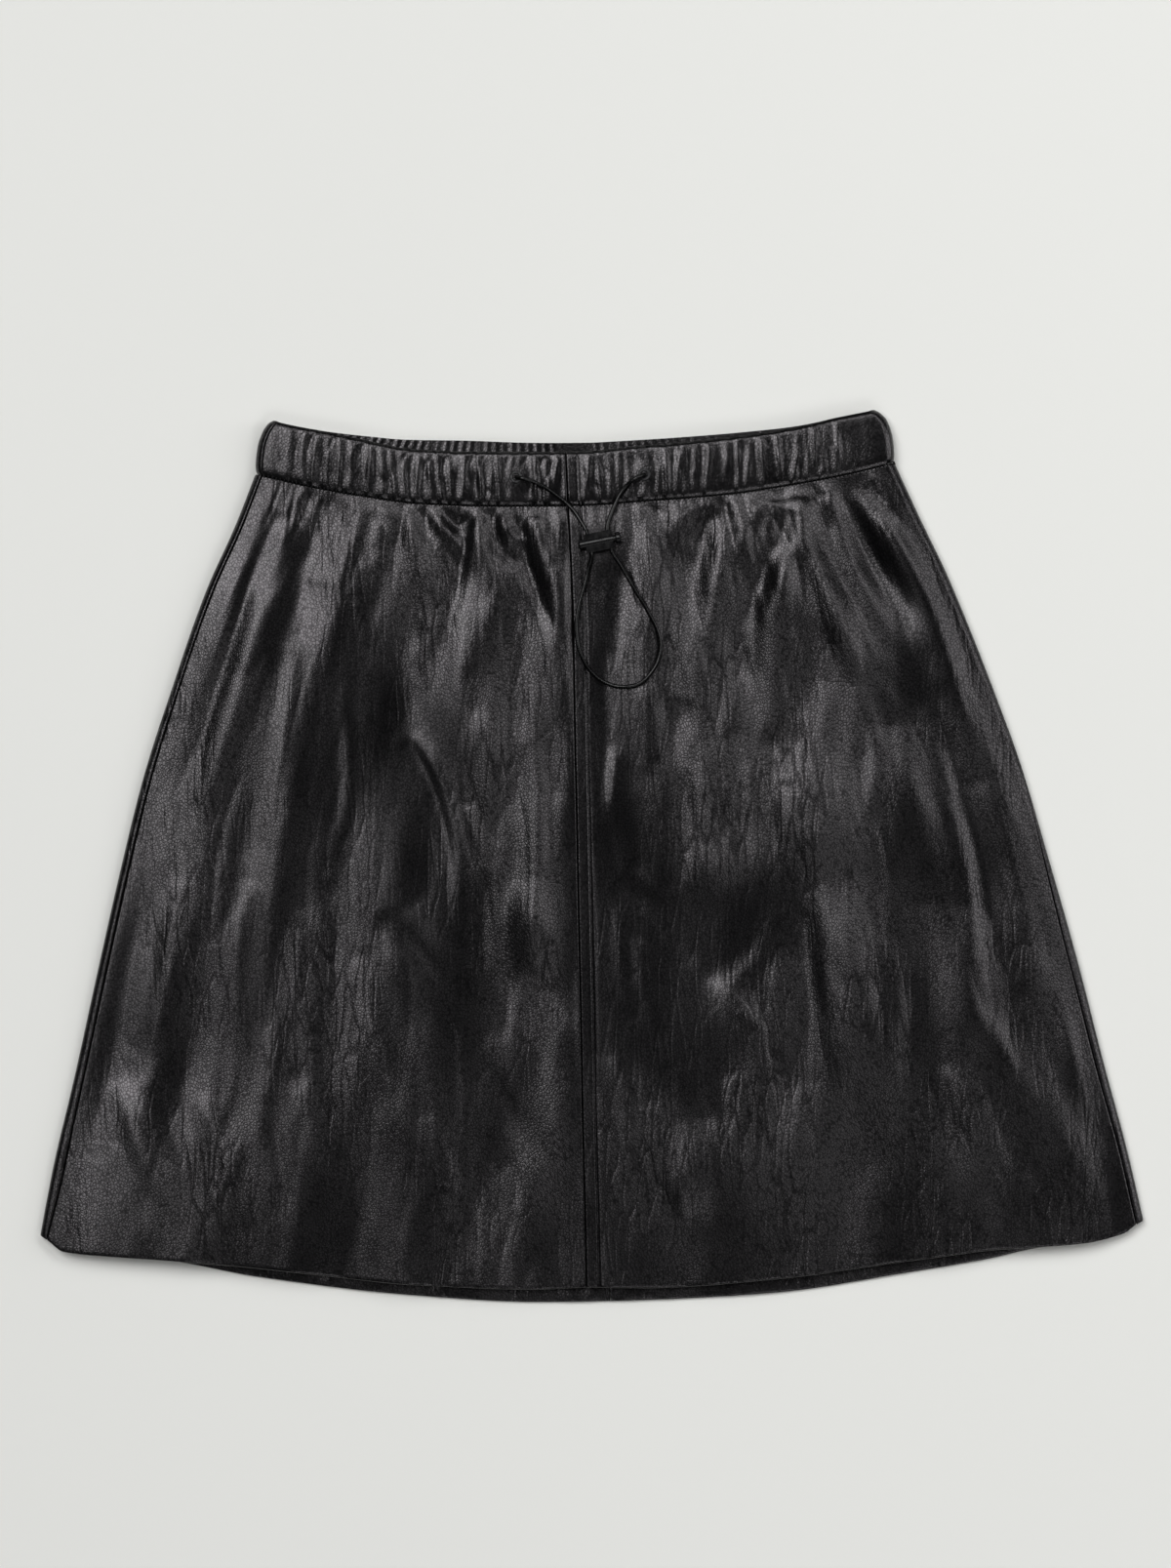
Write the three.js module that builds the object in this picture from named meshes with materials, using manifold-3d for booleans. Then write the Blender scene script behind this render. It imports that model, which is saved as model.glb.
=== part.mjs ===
// An A-line mini skirt in soft black faux leather, laid flat on its back on a table.
//
// Millimetres, +Z up. The front faces up, the waist lies towards +Y and the hem towards -Y.
// The origin is the middle of the bottom of the garment's box, on the table.
// Left and right are the viewer's, looking down at the front with the waist away from them.
//
// Four skirt panels meet at two side seams, a front seam and a back seam. Each side of the skirt is a soft
// roll, where the leather turns over from the back to the front. Every panel is a thin wall: its outer points
// lie on that roll, on the crowned front or on the flat back, and its inner points one wall further in.

import * as THREE from "three";
import { mergeVertices } from "three/addons/utils/BufferGeometryUtils.js";
import Module from "manifold-3d";

const wasm = await Module();
wasm.setup();

// Cloth thicknesses and the clearance at each seam
const SEAM_GAP = 0.3;
const LEATHER_WALL = 1.2;
const HEM_WALL = 2.0;
const BAND_WALL = 2.6;

// The skirt from its waist seam (at 0) to its hem (at 1).
// half and middle: half the laid width and the x of its middle. roll: radius of the side roll.
// crown: height of the front. leftSeam and rightSeam: where the side seams lie, measured round the roll
// from its outermost line, over the top where positive. frontSeam and backSeam: their x.
const SKIRT = [
  { at: 0.0, half: 160.6, middle: -8.5, roll: 4.5, crown: 12.0,
    leftSeam: 6.0, rightSeam: -1.0, frontSeam: -12.0, backSeam: -9.8 },
  { at: 0.07, half: 172.0, middle: -7.6, roll: 4.3, crown: 13.0,
    leftSeam: 5.9, rightSeam: -1.0, frontSeam: -10.6, backSeam: -8.4 },
  { at: 0.15, half: 186.2, middle: -7.2, roll: 4.1, crown: 13.2,
    leftSeam: 5.8, rightSeam: -0.6, frontSeam: -9.4, backSeam: -6.9 },
  { at: 0.28, half: 205.0, middle: -5.9, roll: 3.9, crown: 13.2,
    leftSeam: 5.6, rightSeam: 0.0, frontSeam: -8.6, backSeam: -4.4 },
  { at: 0.4, half: 220.7, middle: -4.9, roll: 3.6, crown: 13.0,
    leftSeam: 5.8, rightSeam: 1.5, frontSeam: -7.6, backSeam: -2.1 },
  { at: 0.53, half: 234.2, middle: -3.7, roll: 3.4, crown: 12.6,
    leftSeam: 5.9, rightSeam: 4.5, frontSeam: -6.6, backSeam: 0.4 },
  { at: 0.66, half: 246.8, middle: -2.3, roll: 3.3, crown: 12.2,
    leftSeam: 6.1, rightSeam: 6.0, frontSeam: -5.5, backSeam: 2.9 },
  { at: 0.79, half: 258.6, middle: -1.4, roll: 3.2, crown: 11.6,
    leftSeam: 6.2, rightSeam: 6.0, frontSeam: -4.6, backSeam: 5.4 },
  { at: 0.91, half: 270.1, middle: -0.7, roll: 3.1, crown: 11.0,
    leftSeam: 7.0, rightSeam: 5.6, frontSeam: -3.4, backSeam: 7.8 },
  { at: 1.0, half: 277.35, middle: 0.0, roll: 3.0, crown: 10.6,
    leftSeam: 5.2, rightSeam: 5.6, frontSeam: -2.7, backSeam: 9.5 },
];

// The waistband from its seam (at 0) to its folded top edge (at 1).
// swell: how far its face stands out from its crown, least at the seam and at the fold.
const BAND = [
  { at: 0.0, half: 160.6, middle: -8.5, roll: 5.0, crown: 12.6,
    leftSeam: 6.3, rightSeam: -1.0, frontSeam: -12.0, swell: -1.2 },
  { at: 0.16, half: 160.4, middle: -8.5, roll: 5.0, crown: 12.6,
    leftSeam: 6.3, rightSeam: -1.0, frontSeam: -12.2, swell: -0.1 },
  { at: 0.5, half: 159.5, middle: -8.5, roll: 5.0, crown: 12.6,
    leftSeam: 6.3, rightSeam: -1.0, frontSeam: -12.6, swell: 0.0 },
  { at: 0.82, half: 156.5, middle: -8.5, roll: 5.0, crown: 12.4,
    leftSeam: 6.3, rightSeam: -1.0, frontSeam: -13.0, swell: -0.1 },
  { at: 1.0, half: 152.4, middle: -9.1, roll: 5.0, crown: 12.2,
    leftSeam: 6.3, rightSeam: -1.0, frontSeam: -13.2, swell: -1.2 },
];

// Three edges, each as the y of the front and of the back at shares across the laid width (at 0 to 1).
const BAND_TOP = [
  { at: 0.0, front: 218.8, back: 218.8 },
  { at: 0.045, front: 215.7, back: 215.7 },
  { at: 0.092, front: 213.1, back: 213.5 },
  { at: 0.15, front: 209.3, back: 211.4 },
  { at: 0.23, front: 204.5, back: 209.3 },
  { at: 0.32, front: 203.1, back: 208.9 },
  { at: 0.43, front: 202.9, back: 207.8 },
  { at: 0.5, front: 203.0, back: 207.7 },
  { at: 0.6, front: 205.6, back: 209.1 },
  { at: 0.72, front: 209.0, back: 211.6 },
  { at: 0.82, front: 212.9, back: 214.4 },
  { at: 0.865, front: 215.2, back: 216.1 },
  { at: 0.93, front: 219.9, back: 220.0 },
  { at: 1.0, front: 224.2, back: 224.2 },
];
const WAIST_SEAM = [
  { at: 0.0, front: 191.8, back: 191.8 },
  { at: 0.045, front: 188.4, back: 189.6 },
  { at: 0.09, front: 185.2, back: 187.4 },
  { at: 0.16, front: 181.2, back: 185.2 },
  { at: 0.26, front: 176.9, back: 183.2 },
  { at: 0.38, front: 175.7, back: 182.1 },
  { at: 0.5, front: 176.0, back: 181.8 },
  { at: 0.62, front: 178.5, back: 183.2 },
  { at: 0.74, front: 181.7, back: 186.0 },
  { at: 0.84, front: 186.5, back: 189.6 },
  { at: 0.92, front: 191.3, back: 193.2 },
  { at: 1.0, front: 197.5, back: 197.5 },
];
const HEM = [
  { at: 0.0, front: -190.9, back: -190.9 },
  { at: 0.0065, front: -192.8, back: -192.8 },
  { at: 0.022, front: -198.7, back: -198.7 },
  { at: 0.07, front: -201.1, back: -201.1 },
  { at: 0.11, front: -202.6, back: -202.9 },
  { at: 0.2, front: -206.9, back: -211.8 },
  { at: 0.34, front: -215.0, back: -220.9 },
  { at: 0.45, front: -217.3, back: -224.2 },
  { at: 0.5, front: -216.3, back: -223.9 },
  { at: 0.55, front: -216.6, back: -223.2 },
  { at: 0.67, front: -211.9, back: -219.3 },
  { at: 0.785, front: -203.2, back: -209.5 },
  { at: 0.86, front: -197.8, back: -202.4 },
  { at: 0.905, front: -196.1, back: -196.9 },
  { at: 0.945, front: -194.3, back: -194.3 },
  { at: 0.982, front: -189.4, back: -189.4 },
  { at: 0.993, front: -185.0, back: -185.0 },
  { at: 1.0, front: -183.5, back: -183.5 },
];

// The largest folds of the front, each a soft ridge (height over 0) or trough from one end to the other.
// bow: how far the middle of its line lies to the left of the straight line between its ends.
const FOLDS = [
  { fromX: -151, fromY: 184, toX: -226, toY: 17, width: 16, height: 2.4, bow: -8 },
  { fromX: -140, fromY: 178, toX: -188, toY: 30, width: 10, height: -2.6, bow: -4 },
  { fromX: -130, fromY: 176, toX: -175, toY: -12, width: 12, height: 2.0, bow: -6 },
  { fromX: -99, fromY: 174, toX: -67, toY: 8, width: 17, height: 4.0, bow: -10 },
  { fromX: -69, fromY: 168, toX: -79, toY: 74, width: 8, height: -3.0, bow: 4 },
  { fromX: -53, fromY: 166, toX: -56, toY: 4, width: 13, height: 3.4, bow: 0 },
  { fromX: -38, fromY: 168, toX: -22, toY: 82, width: 7, height: -3.0, bow: -3 },
  { fromX: -28, fromY: 172, toX: -18, toY: 56, width: 8, height: 2.2, bow: 3 },
  { fromX: -118, fromY: 104, toX: -40, toY: -140, width: 26, height: -3.4, bow: -6 },
  { fromX: -112, fromY: -34, toX: -32, toY: -150, width: 9, height: 2.8, bow: -6 },
  { fromX: -200, fromY: 90, toX: -236, toY: -92, width: 14, height: 2.2, bow: 4 },
  { fromX: -242, fromY: -104, toX: -206, toY: -192, width: 12, height: 2.0, bow: 0 },
  { fromX: 26, fromY: 172, toX: 8, toY: 26, width: 10, height: 2.6, bow: -4 },
  { fromX: 53, fromY: 178, toX: 42, toY: 112, width: 8, height: -3.0, bow: 3 },
  { fromX: 70, fromY: 176, toX: 52, toY: 60, width: 10, height: 3.2, bow: 3 },
  { fromX: 95, fromY: 180, toX: 65, toY: 72, width: 9, height: -3.0, bow: 2 },
  { fromX: 100, fromY: 182, toX: 74, toY: 60, width: 9, height: 4.0, bow: 3 },
  { fromX: 103, fromY: 166, toX: 146, toY: 66, width: 10, height: 3.8, bow: 4 },
  { fromX: 100, fromY: 124, toX: 95, toY: 30, width: 12, height: -3.0, bow: 0 },
  { fromX: 119, fromY: 188, toX: 160, toY: 108, width: 9, height: -3.8, bow: 4 },
  { fromX: 134, fromY: 186, toX: 186, toY: 78, width: 11, height: 3.0, bow: 5 },
  { fromX: 158, fromY: 142, toX: 224, toY: -8, width: 14, height: 2.6, bow: 8 },
  { fromX: 112, fromY: -6, toX: 120, toY: -122, width: 12, height: 3.0, bow: -5 },
  { fromX: 44, fromY: -46, toX: 98, toY: -10, width: 12, height: -3.8, bow: -9 },
  { fromX: 52, fromY: -54, toX: 92, toY: -96, width: 10, height: 2.8, bow: 5 },
  { fromX: 2, fromY: 34, toX: 56, toY: -92, width: 20, height: -2.6, bow: -6 },
  { fromX: 192, fromY: -70, toX: 248, toY: -176, width: 14, height: 2.2, bow: 4 },
];

// Gathers: how many the elastic draws up on each piece, and how deep they are
const STEPS_PER_GATHER = 4;
const PANEL_GATHERS = 10;
const PANEL_GATHER_DEPTH = 1.7;
const PANEL_GATHER_LENGTH = 34;
const BAND_GATHERS = 14;
const BAND_GATHER_DEPTH = 0.8;
const BACK_GATHERS = 24;
const BACK_STEPS_PER_GATHER = 3;
const BACK_GATHER_DEPTH = 0.55;
const BACK_FLAT_STRETCH = 17;
const GATHER_UNEVENNESS = 0.35;

// The topstitched strip to the right of the front seam
const STRIP_WIDTH = 6.2;
const STRIP_RAISE = 0.5;
const STRIP_SLOPE = 0.6;

// The front lifts off its side roll steeply at first and then slowly.
const STEEP_LIFT = 9;
const SLOW_LIFT = 60;
const FOLDS_START = 14;
const SEAM_TUCK = 1.1;
const SEAM_TUCK_LENGTH = 7;

// Where each grid has a row, as shares from its top edge to its bottom one
const PANEL_ROWS = [
  0, 0.015, 0.04, 0.075, 0.12, 0.18, 0.26, 0.35, 0.44, 0.53, 0.62, 0.72, 0.82, 0.914, 0.924, 1,
];
const BAND_ROWS = [0, 0.17, 0.84, 1];
const HEM_TOP = 0.919;
const ROLL_STEPS = 4;
const BACK_ROLL_STEPS = 8;
const BACK_FLAT_STEPS = 6;

// Drawcord, its two eyelets and its spring lock
const CORD_RADIUS = 1.0;
const CORD_SIDES = 8;
const CORD_STEPS = 76;
const EYELETS = [
  { name: "eyelet_left", x: -38.0, y: 190.2, seat: 11.9 },
  { name: "eyelet_right", x: 26.2, y: 191.4, seat: 11.9 },
];
const EYELET_OUTER = 3.2;
const EYELET_INNER = 1.6;
const EYELET_HEIGHT = 1.0;
const EYELET_CLEARANCE = 0.3;
const CORD_POCKET_DEPTH = 1.1;
const LOCK = { x: -6.9, y: 155.7, z: 16.2, tilt: 11.2 };
const LOCK_LENGTH = 17.7;
const BARREL_RADIUS = 2.5;
const BARREL_NOSE = 1.0;
const WING_START = 3.7;
const WING_HALF_WIDTH = 4.75;
const WING_HALF_HEIGHT = 1.9;
const WING_CORNER = 1.0;
const CORD_HOLES = [5.5, 15.9];
const CORD_HOLE_RADIUS = 1.3;
const BORE_START = 1.9;
const BORE_RADIUS = 1.75;
const PLUNGER_RADIUS = 1.6;
const PLUNGER_START = 3.6;
const PLUNGER_TRAVEL = 1.1;
const SLOT_HALF_HEIGHT = 1.2;
const KNOB_START = 19.0;
const KNOB_END = 21.6;
const KNOB_RADIUS = 3.0;
const KNOB_EDGE = 0.6;
const ROUND_SIDES = 20;

// The places where the cloth lies calm, under the lock and round each eyelet
const CALM_SPOTS = [
  { x: 3.8, y: 157.8, radius: 15 },
  ...EYELETS.map(({ x, y }) => ({ x, y, radius: 6.5 })),
];

// The drawcord's centre line from the left eyelet, down through the lock, round its loop and back up.
const CORD_ROUTE = [
  [-38.0, 190.2, 11.2],
  [-37.7, 190.1, 14.0],
  [-36.3, 189.7, 15.9],
  [-34.5, 189.2, 16.7],
  [-32.0, 188.5, 16.3],
  [-27.2, 186.8, 14.7],
  [-17.4, 180.6, 13.8],
  [-10.0, 174.2, 14.3],
  [-5.4, 167.6, 15.5],
  [-2.63, 162.46, 16.2],
  [-1.5, 156.77, 16.2],
  [-0.38, 151.08, 16.2],
  [-1.7, 144.3, 15.1],
  [-4.2, 134.0, 14.9],
  [-7.2, 122.0, 14.9],
  [-7.7, 111.0, 14.9],
  [-4.7, 99.2, 14.95],
  [0.7, 91.4, 14.7],
  [7.6, 86.7, 14.95],
  [15.9, 85.0, 15.85],
  [23.8, 86.7, 15.85],
  [29.6, 91.9, 15.3],
  [33.8, 100.2, 14.95],
  [34.0, 108.5, 15.05],
  [27.7, 123.2, 16.4],
  [21.8, 133.0, 16.6],
  [14.5, 145.6, 16.3],
  [9.82, 153.1, 16.2],
  [8.7, 158.79, 16.2],
  [7.57, 164.48, 16.2],
  [8.9, 169.8, 15.6],
  [11.4, 176.0, 14.6],
  [14.3, 181.6, 14.2],
  [17.2, 185.6, 14.9],
  [20.5, 188.4, 16.3],
  [22.9, 189.8, 16.7],
  [24.6, 190.6, 15.9],
  [25.9, 191.2, 14.0],
  [26.2, 191.4, 11.2],
];

const leather = new THREE.MeshStandardMaterial({ color: 0x161617, roughness: 0.42, metalness: 0 });
const cordElastic = new THREE.MeshStandardMaterial({ color: 0x121213, roughness: 0.35, metalness: 0 });
const lockPlastic = new THREE.MeshStandardMaterial({ color: 0x0f0f10, roughness: 0.22, metalness: 0 });
const eyeletEnamel = new THREE.MeshStandardMaterial({ color: 0x141415, roughness: 0.3, metalness: 0.6 });

const clamp = (value, low, high) => Math.min(Math.max(value, low), high);
const mix = (a, b, share) => a + (b - a) * share;
const ease = (share) => share * share * (3 - 2 * share);

// A table's column at any place: a smooth curve through its rows that never swings past them.
function column(table, name, at) {
  const last = table.length - 2;
  const found = table.findIndex((row, i) => i <= last && at <= table[i + 1].at);
  const i = found < 0 ? last : found;
  const rise = (n) => (table[n + 1][name] - table[n][name]) / (table[n + 1].at - table[n].at);
  const slope = (n) => {
    if (n === 0) return rise(0);
    if (n === last + 1) return rise(last);
    const before = rise(n - 1);
    const after = rise(n);
    return before * after > 0 ? (2 * before * after) / (before + after) : 0;
  };
  const span = table[i + 1].at - table[i].at;
  const t = clamp((at - table[i].at) / span, 0, 1);
  const bend = t * t * (1 - t) * slope(i + 1) - t * (1 - t) * (1 - t) * slope(i);
  return mix(table[i][name], table[i + 1][name], ease(t)) - span * bend;
}

// A place on the side roll, a distance along the leather from its outermost line: over the top where that
// is positive, underneath where it is negative. inward and height place it, and the normal faces out.
function sideRoll(along, radius) {
  const quarter = (Math.PI / 2) * radius;
  const turn = clamp(along, -quarter, quarter) / radius;
  const beyond = Math.max(Math.abs(along) - quarter, 0);
  return {
    inward: radius * (1 - Math.cos(turn)) + beyond,
    height: radius * (1 + Math.sin(turn)),
    normal: [-Math.cos(turn), Math.sin(turn)],
    beyond,
  };
}

// The y of a place on the skirt or the band, from its share across the width and its share down or up.
const skirtY = (face, across, at) => mix(column(WAIST_SEAM, face, across), column(HEM, face, across), at);
const bandY = (face, across, at) => mix(column(WAIST_SEAM, face, across), column(BAND_TOP, face, across), at);

// How much of the folds is left at a place: none where something lies on the cloth.
function calm(x, y) {
  return CALM_SPOTS.reduce((left, spot) => {
    const away = Math.hypot(x - spot.x, y - spot.y) / spot.radius;
    return left * (1 - Math.exp(-(away ** 4)));
  }, 1);
}

// The height that the named folds add at a place.
function foldRelief(x, y) {
  return FOLDS.reduce((sum, fold) => {
    const runX = fold.toX - fold.fromX;
    const runY = fold.toY - fold.fromY;
    const length = Math.hypot(runX, runY);
    const share = ((x - fold.fromX) * runX + (y - fold.fromY) * runY) / (length * length);
    if (share <= 0 || share >= 1) return sum;
    const bow = fold.bow * 4 * share * (1 - share);
    const aside = ((x - fold.fromX) * runY - (y - fold.fromY) * runX) / length - bow;
    const swell = Math.sin(Math.PI * Math.sqrt(share));
    return sum + fold.height * swell * Math.exp(-((aside / fold.width) ** 2));
  }, 0);
}

// One gather's depth varies with its number, and so does how far down the skirt it runs.
const gatherDepth = (gather, side) => 0.72 + 0.28 * Math.sin(2.3 * gather + 1.7 * side);
const gatherLength = (gather, side) => PANEL_GATHER_LENGTH * (0.8 + 0.4 * Math.sin(1.9 * gather - side));
const uneven = (share) => share + (GATHER_UNEVENNESS / (6 * Math.PI)) * Math.sin(6 * Math.PI * share);

// The strip beside the front seam stands up by one folded allowance.
const stripRaise = (fromSeam) => STRIP_RAISE * ease(clamp((STRIP_WIDTH - fromSeam) / STRIP_SLOPE, 0, 1));

// How far the front stands off the straight line over its side roll, on its way up to its crown.
function frontLift(beyond, crown, radius) {
  const steep = 1 - Math.exp(-beyond / STEEP_LIFT);
  const slow = 1 - Math.exp(-beyond / SLOW_LIFT);
  return (crown - 2 * radius) * (0.5 * steep + 0.5 * slow);
}

// The columns of a front piece at one row, as distances along the leather from its outermost line.
// side is -1 on the left and 1 on the right, where the piece ends in the topstitched strip.
function frontColumns(table, side, at, gathers) {
  const radius = column(table, "roll", at);
  const quarter = (Math.PI / 2) * radius;
  const edge = column(table, "middle", at) + side * column(table, "half", at);
  const seam = column(table, side < 0 ? "leftSeam" : "rightSeam", at);
  const start = seam + SEAM_GAP / 2;
  const end = Math.abs(column(table, "frontSeam", at) - edge) - SEAM_GAP / 2 - radius + quarter;
  const rolled = Math.max(quarter, start) + 2;
  const gathered = end - (side > 0 ? STRIP_WIDTH + 1 : 1);
  const columns = [];
  for (let k = 0; k < ROLL_STEPS; k += 1) {
    columns.push({ along: mix(start, rolled, k / ROLL_STEPS), gather: 0, wave: 0 });
  }
  const steps = gathers * STEPS_PER_GATHER;
  for (let k = 0; k <= steps; k += 1) {
    const gather = k / STEPS_PER_GATHER;
    columns.push({ along: mix(rolled, gathered, uneven(k / steps)), gather, wave: 1 });
  }
  if (side > 0) {
    columns.push({ along: end - STRIP_WIDTH, gather: gathers, wave: 0 });
    columns.push({ along: end - STRIP_WIDTH + STRIP_SLOPE, gather: gathers, wave: 0 });
  }
  columns.push({ along: end, gather: gathers, wave: 0 });
  return columns.map((entry) => ({ ...entry, fromSeam: end - entry.along, radius, edge }));
}

// Where a distance along the leather lies in x, as a share of the width, and on the roll.
function placeAcross(table, side, along, at) {
  const half = column(table, "half", at);
  const middle = column(table, "middle", at);
  const roll = sideRoll(along, column(table, "roll", at));
  const x = middle + side * (half - roll.inward);
  return { x, across: clamp((x - middle + half) / (2 * half), 0, 1), roll };
}

// The outer and inner points of a wall, one relief out from its line and one thickness in from there.
function wallPoints(side, x, y, height, normal, relief, thickness) {
  const out = (distance) => [x - side * normal[0] * distance, y, height + normal[1] * distance];
  return { outer: out(relief), inner: out(relief - thickness) };
}

function frontPanelPoint(side, entry, at) {
  const { x, across, roll } = placeAcross(SKIRT, side, entry.along, at);
  const crown = column(SKIRT, "crown", at);
  const y = skirtY("front", across, at);
  const below = column(WAIST_SEAM, "front", across) - y;
  const fade = Math.exp(-((below / gatherLength(entry.gather, side)) ** 2));
  const wave = entry.wave * PANEL_GATHER_DEPTH * gatherDepth(entry.gather, side) * fade;
  const start = ease(clamp(roll.beyond / FOLDS_START, 0, 1));
  const nearSeam = ease(clamp(entry.fromSeam / STRIP_WIDTH - (side > 0 ? 0.6 : 0), 0, 1));
  const folds = (foldRelief(x, y) + wave * Math.cos(2 * Math.PI * entry.gather)) * start * nearSeam;
  const tuck = SEAM_TUCK * Math.exp(-((below / SEAM_TUCK_LENGTH) ** 2)) * start;
  const strip = side > 0 ? stripRaise(entry.fromSeam) : 0;
  const height = roll.height + frontLift(roll.beyond, crown, entry.radius);
  const thickness = at > HEM_TOP ? HEM_WALL : LEATHER_WALL;
  return wallPoints(side, x, y, height, roll.normal, folds * calm(x, y) - tuck + strip, thickness);
}

function frontBandPoint(side, entry, at) {
  const { x, across, roll } = placeAcross(BAND, side, entry.along, at);
  const y = bandY("front", across, at);
  const swell = column(BAND, "swell", at);
  const start = ease(clamp(roll.beyond / FOLDS_START, 0, 1));
  const depth = entry.wave * BAND_GATHER_DEPTH * gatherDepth(entry.gather, side) * start;
  const wave = depth * Math.cos(2 * Math.PI * entry.gather) * (0.45 + 0.55 * Math.sin(Math.PI * at));
  const strip = side > 0 ? stripRaise(entry.fromSeam) : 0;
  const height = roll.height + frontLift(roll.beyond, column(BAND, "crown", at), entry.radius);
  return wallPoints(side, x, y, height, roll.normal, wave * calm(x, y) + swell + strip, BAND_WALL + swell);
}

// The columns of a back piece at one row: round the side roll from its seam, then flat to the middle.
function backColumns(table, side, at, inwardEnd, flatSteps) {
  const radius = column(table, "roll", at);
  const quarter = (Math.PI / 2) * radius;
  const start = column(table, side < 0 ? "leftSeam" : "rightSeam", at) - SEAM_GAP / 2;
  const end = -(inwardEnd - radius + quarter);
  const columns = [];
  for (let k = 0; k < BACK_ROLL_STEPS; k += 1) {
    columns.push({ along: mix(start, -quarter, k / BACK_ROLL_STEPS), share: 0 });
  }
  for (let k = 0; k <= flatSteps; k += 1) {
    columns.push({ along: mix(-quarter, end, k / flatSteps), share: k / flatSteps });
  }
  return columns;
}

function backPanelColumns(side, at) {
  const edge = column(SKIRT, "middle", at) + side * column(SKIRT, "half", at);
  const inwardEnd = Math.abs(column(SKIRT, "backSeam", at) - edge) - SEAM_GAP / 2;
  return backColumns(SKIRT, side, at, inwardEnd, BACK_FLAT_STEPS);
}

function backPanelPoint(side, entry, at) {
  const { x, across, roll } = placeAcross(SKIRT, side, entry.along, at);
  const thickness = at > HEM_TOP ? HEM_WALL : LEATHER_WALL;
  return wallPoints(side, x, skirtY("back", across, at), roll.height, roll.normal, 0, thickness);
}

// The back of the waistband is one piece from side seam to side seam, with a flat stretch in its middle.
function backBandColumns(at) {
  const half = column(BAND, "half", at);
  const steps = BACK_GATHERS * BACK_STEPS_PER_GATHER;
  const left = backColumns(BAND, -1, at, half - BACK_FLAT_STRETCH / 2, steps);
  const right = backColumns(BAND, 1, at, half - BACK_FLAT_STRETCH / 2, steps);
  const sided = (entries, side) => entries.map((entry) => ({ ...entry, side }));
  return [...sided(left, -1), ...sided(right, 1).reverse()];
}

function backBandPoint(_, entry, at) {
  const { x, across, roll } = placeAcross(BAND, entry.side, entry.along, at);
  const gather = entry.share * BACK_GATHERS;
  const ends = entry.share > 0 && entry.share < 1 ? gatherDepth(gather, entry.side) : 0;
  const wave = (BACK_GATHER_DEPTH * ends * (Math.cos(2 * Math.PI * gather) - 1)) / 2;
  const swell = column(BAND, "swell", at);
  const y = bandY("back", across, at);
  return wallPoints(entry.side, x, y, roll.height, roll.normal, wave + swell, BAND_WALL + swell);
}

// A closed wall from rows of outer and inner points, with its four edges joined.
function wallGeometry(rows, columnsAt, pointAt) {
  const grid = rows.map((at) => columnsAt(at).map((entry) => pointAt(entry, at)));
  const high = grid.length;
  const wide = grid[0].length;
  const positions = [];
  for (const face of ["outer", "inner"]) {
    for (const row of grid) for (const point of row) positions.push(...point[face]);
  }
  const outer = (i, j) => i * wide + j;
  const inner = (i, j) => high * wide + outer(i, j);
  const index = [];
  const quad = (a, b, c, d) => index.push(a, b, c, a, c, d);
  for (let i = 0; i + 1 < high; i += 1) {
    for (let j = 0; j + 1 < wide; j += 1) {
      quad(outer(i, j), outer(i + 1, j), outer(i + 1, j + 1), outer(i, j + 1));
      quad(inner(i, j), inner(i, j + 1), inner(i + 1, j + 1), inner(i + 1, j));
    }
    quad(outer(i, 0), inner(i, 0), inner(i + 1, 0), outer(i + 1, 0));
    quad(outer(i, wide - 1), outer(i + 1, wide - 1), inner(i + 1, wide - 1), inner(i, wide - 1));
  }
  for (let j = 0; j + 1 < wide; j += 1) {
    quad(outer(0, j), outer(0, j + 1), inner(0, j + 1), inner(0, j));
    quad(outer(high - 1, j), inner(high - 1, j), inner(high - 1, j + 1), outer(high - 1, j + 1));
  }
  return facingOut(positions, index);
}

// The geometry with its faces turned to look outwards.
function facingOut(positions, index) {
  let volume = 0;
  const at = (n) => new THREE.Vector3().fromArray(positions, 3 * n);
  for (let n = 0; n < index.length; n += 3) {
    volume += at(index[n]).dot(at(index[n + 1]).cross(at(index[n + 2])));
  }
  const turned = volume < 0 ? index.toReversed() : index;
  const geometry = new THREE.BufferGeometry();
  geometry.setAttribute("position", new THREE.Float32BufferAttribute(positions, 3));
  geometry.setIndex(turned);
  return geometry;
}

function toSolid(geometry) {
  const bare = new THREE.BufferGeometry();
  bare.setAttribute("position", geometry.getAttribute("position"));
  bare.setIndex(geometry.getIndex());
  const merged = mergeVertices(bare, 1e-4);
  return new wasm.Manifold(
    new wasm.Mesh({
      numProp: 3,
      vertProperties: new Float32Array(merged.getAttribute("position").array),
      triVerts: new Uint32Array(merged.getIndex().array),
    }),
  );
}

function fromSolid(solid) {
  const { vertProperties, triVerts } = solid.getMesh();
  const geometry = new THREE.BufferGeometry();
  geometry.setAttribute("position", new THREE.Float32BufferAttribute(vertProperties, 3));
  geometry.setIndex(new THREE.Uint32BufferAttribute(triVerts, 1));
  return geometry;
}

// A round solid about +Z from its half outline, given as [radius, height] from the bottom up.
function turned(outline) {
  const points = outline.map(([radius, height]) => new THREE.Vector2(radius, height));
  return new THREE.LatheGeometry(points, ROUND_SIDES).rotateX(Math.PI / 2);
}

// A solid cylinder about +Z between two heights.
const rod = (radius, low, high) => turned([[0, low], [radius, low], [radius, high], [0, high]]);

function namedMesh(name, geometry, material) {
  const mesh = new THREE.Mesh(geometry, material);
  mesh.name = name;
  return mesh;
}

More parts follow.
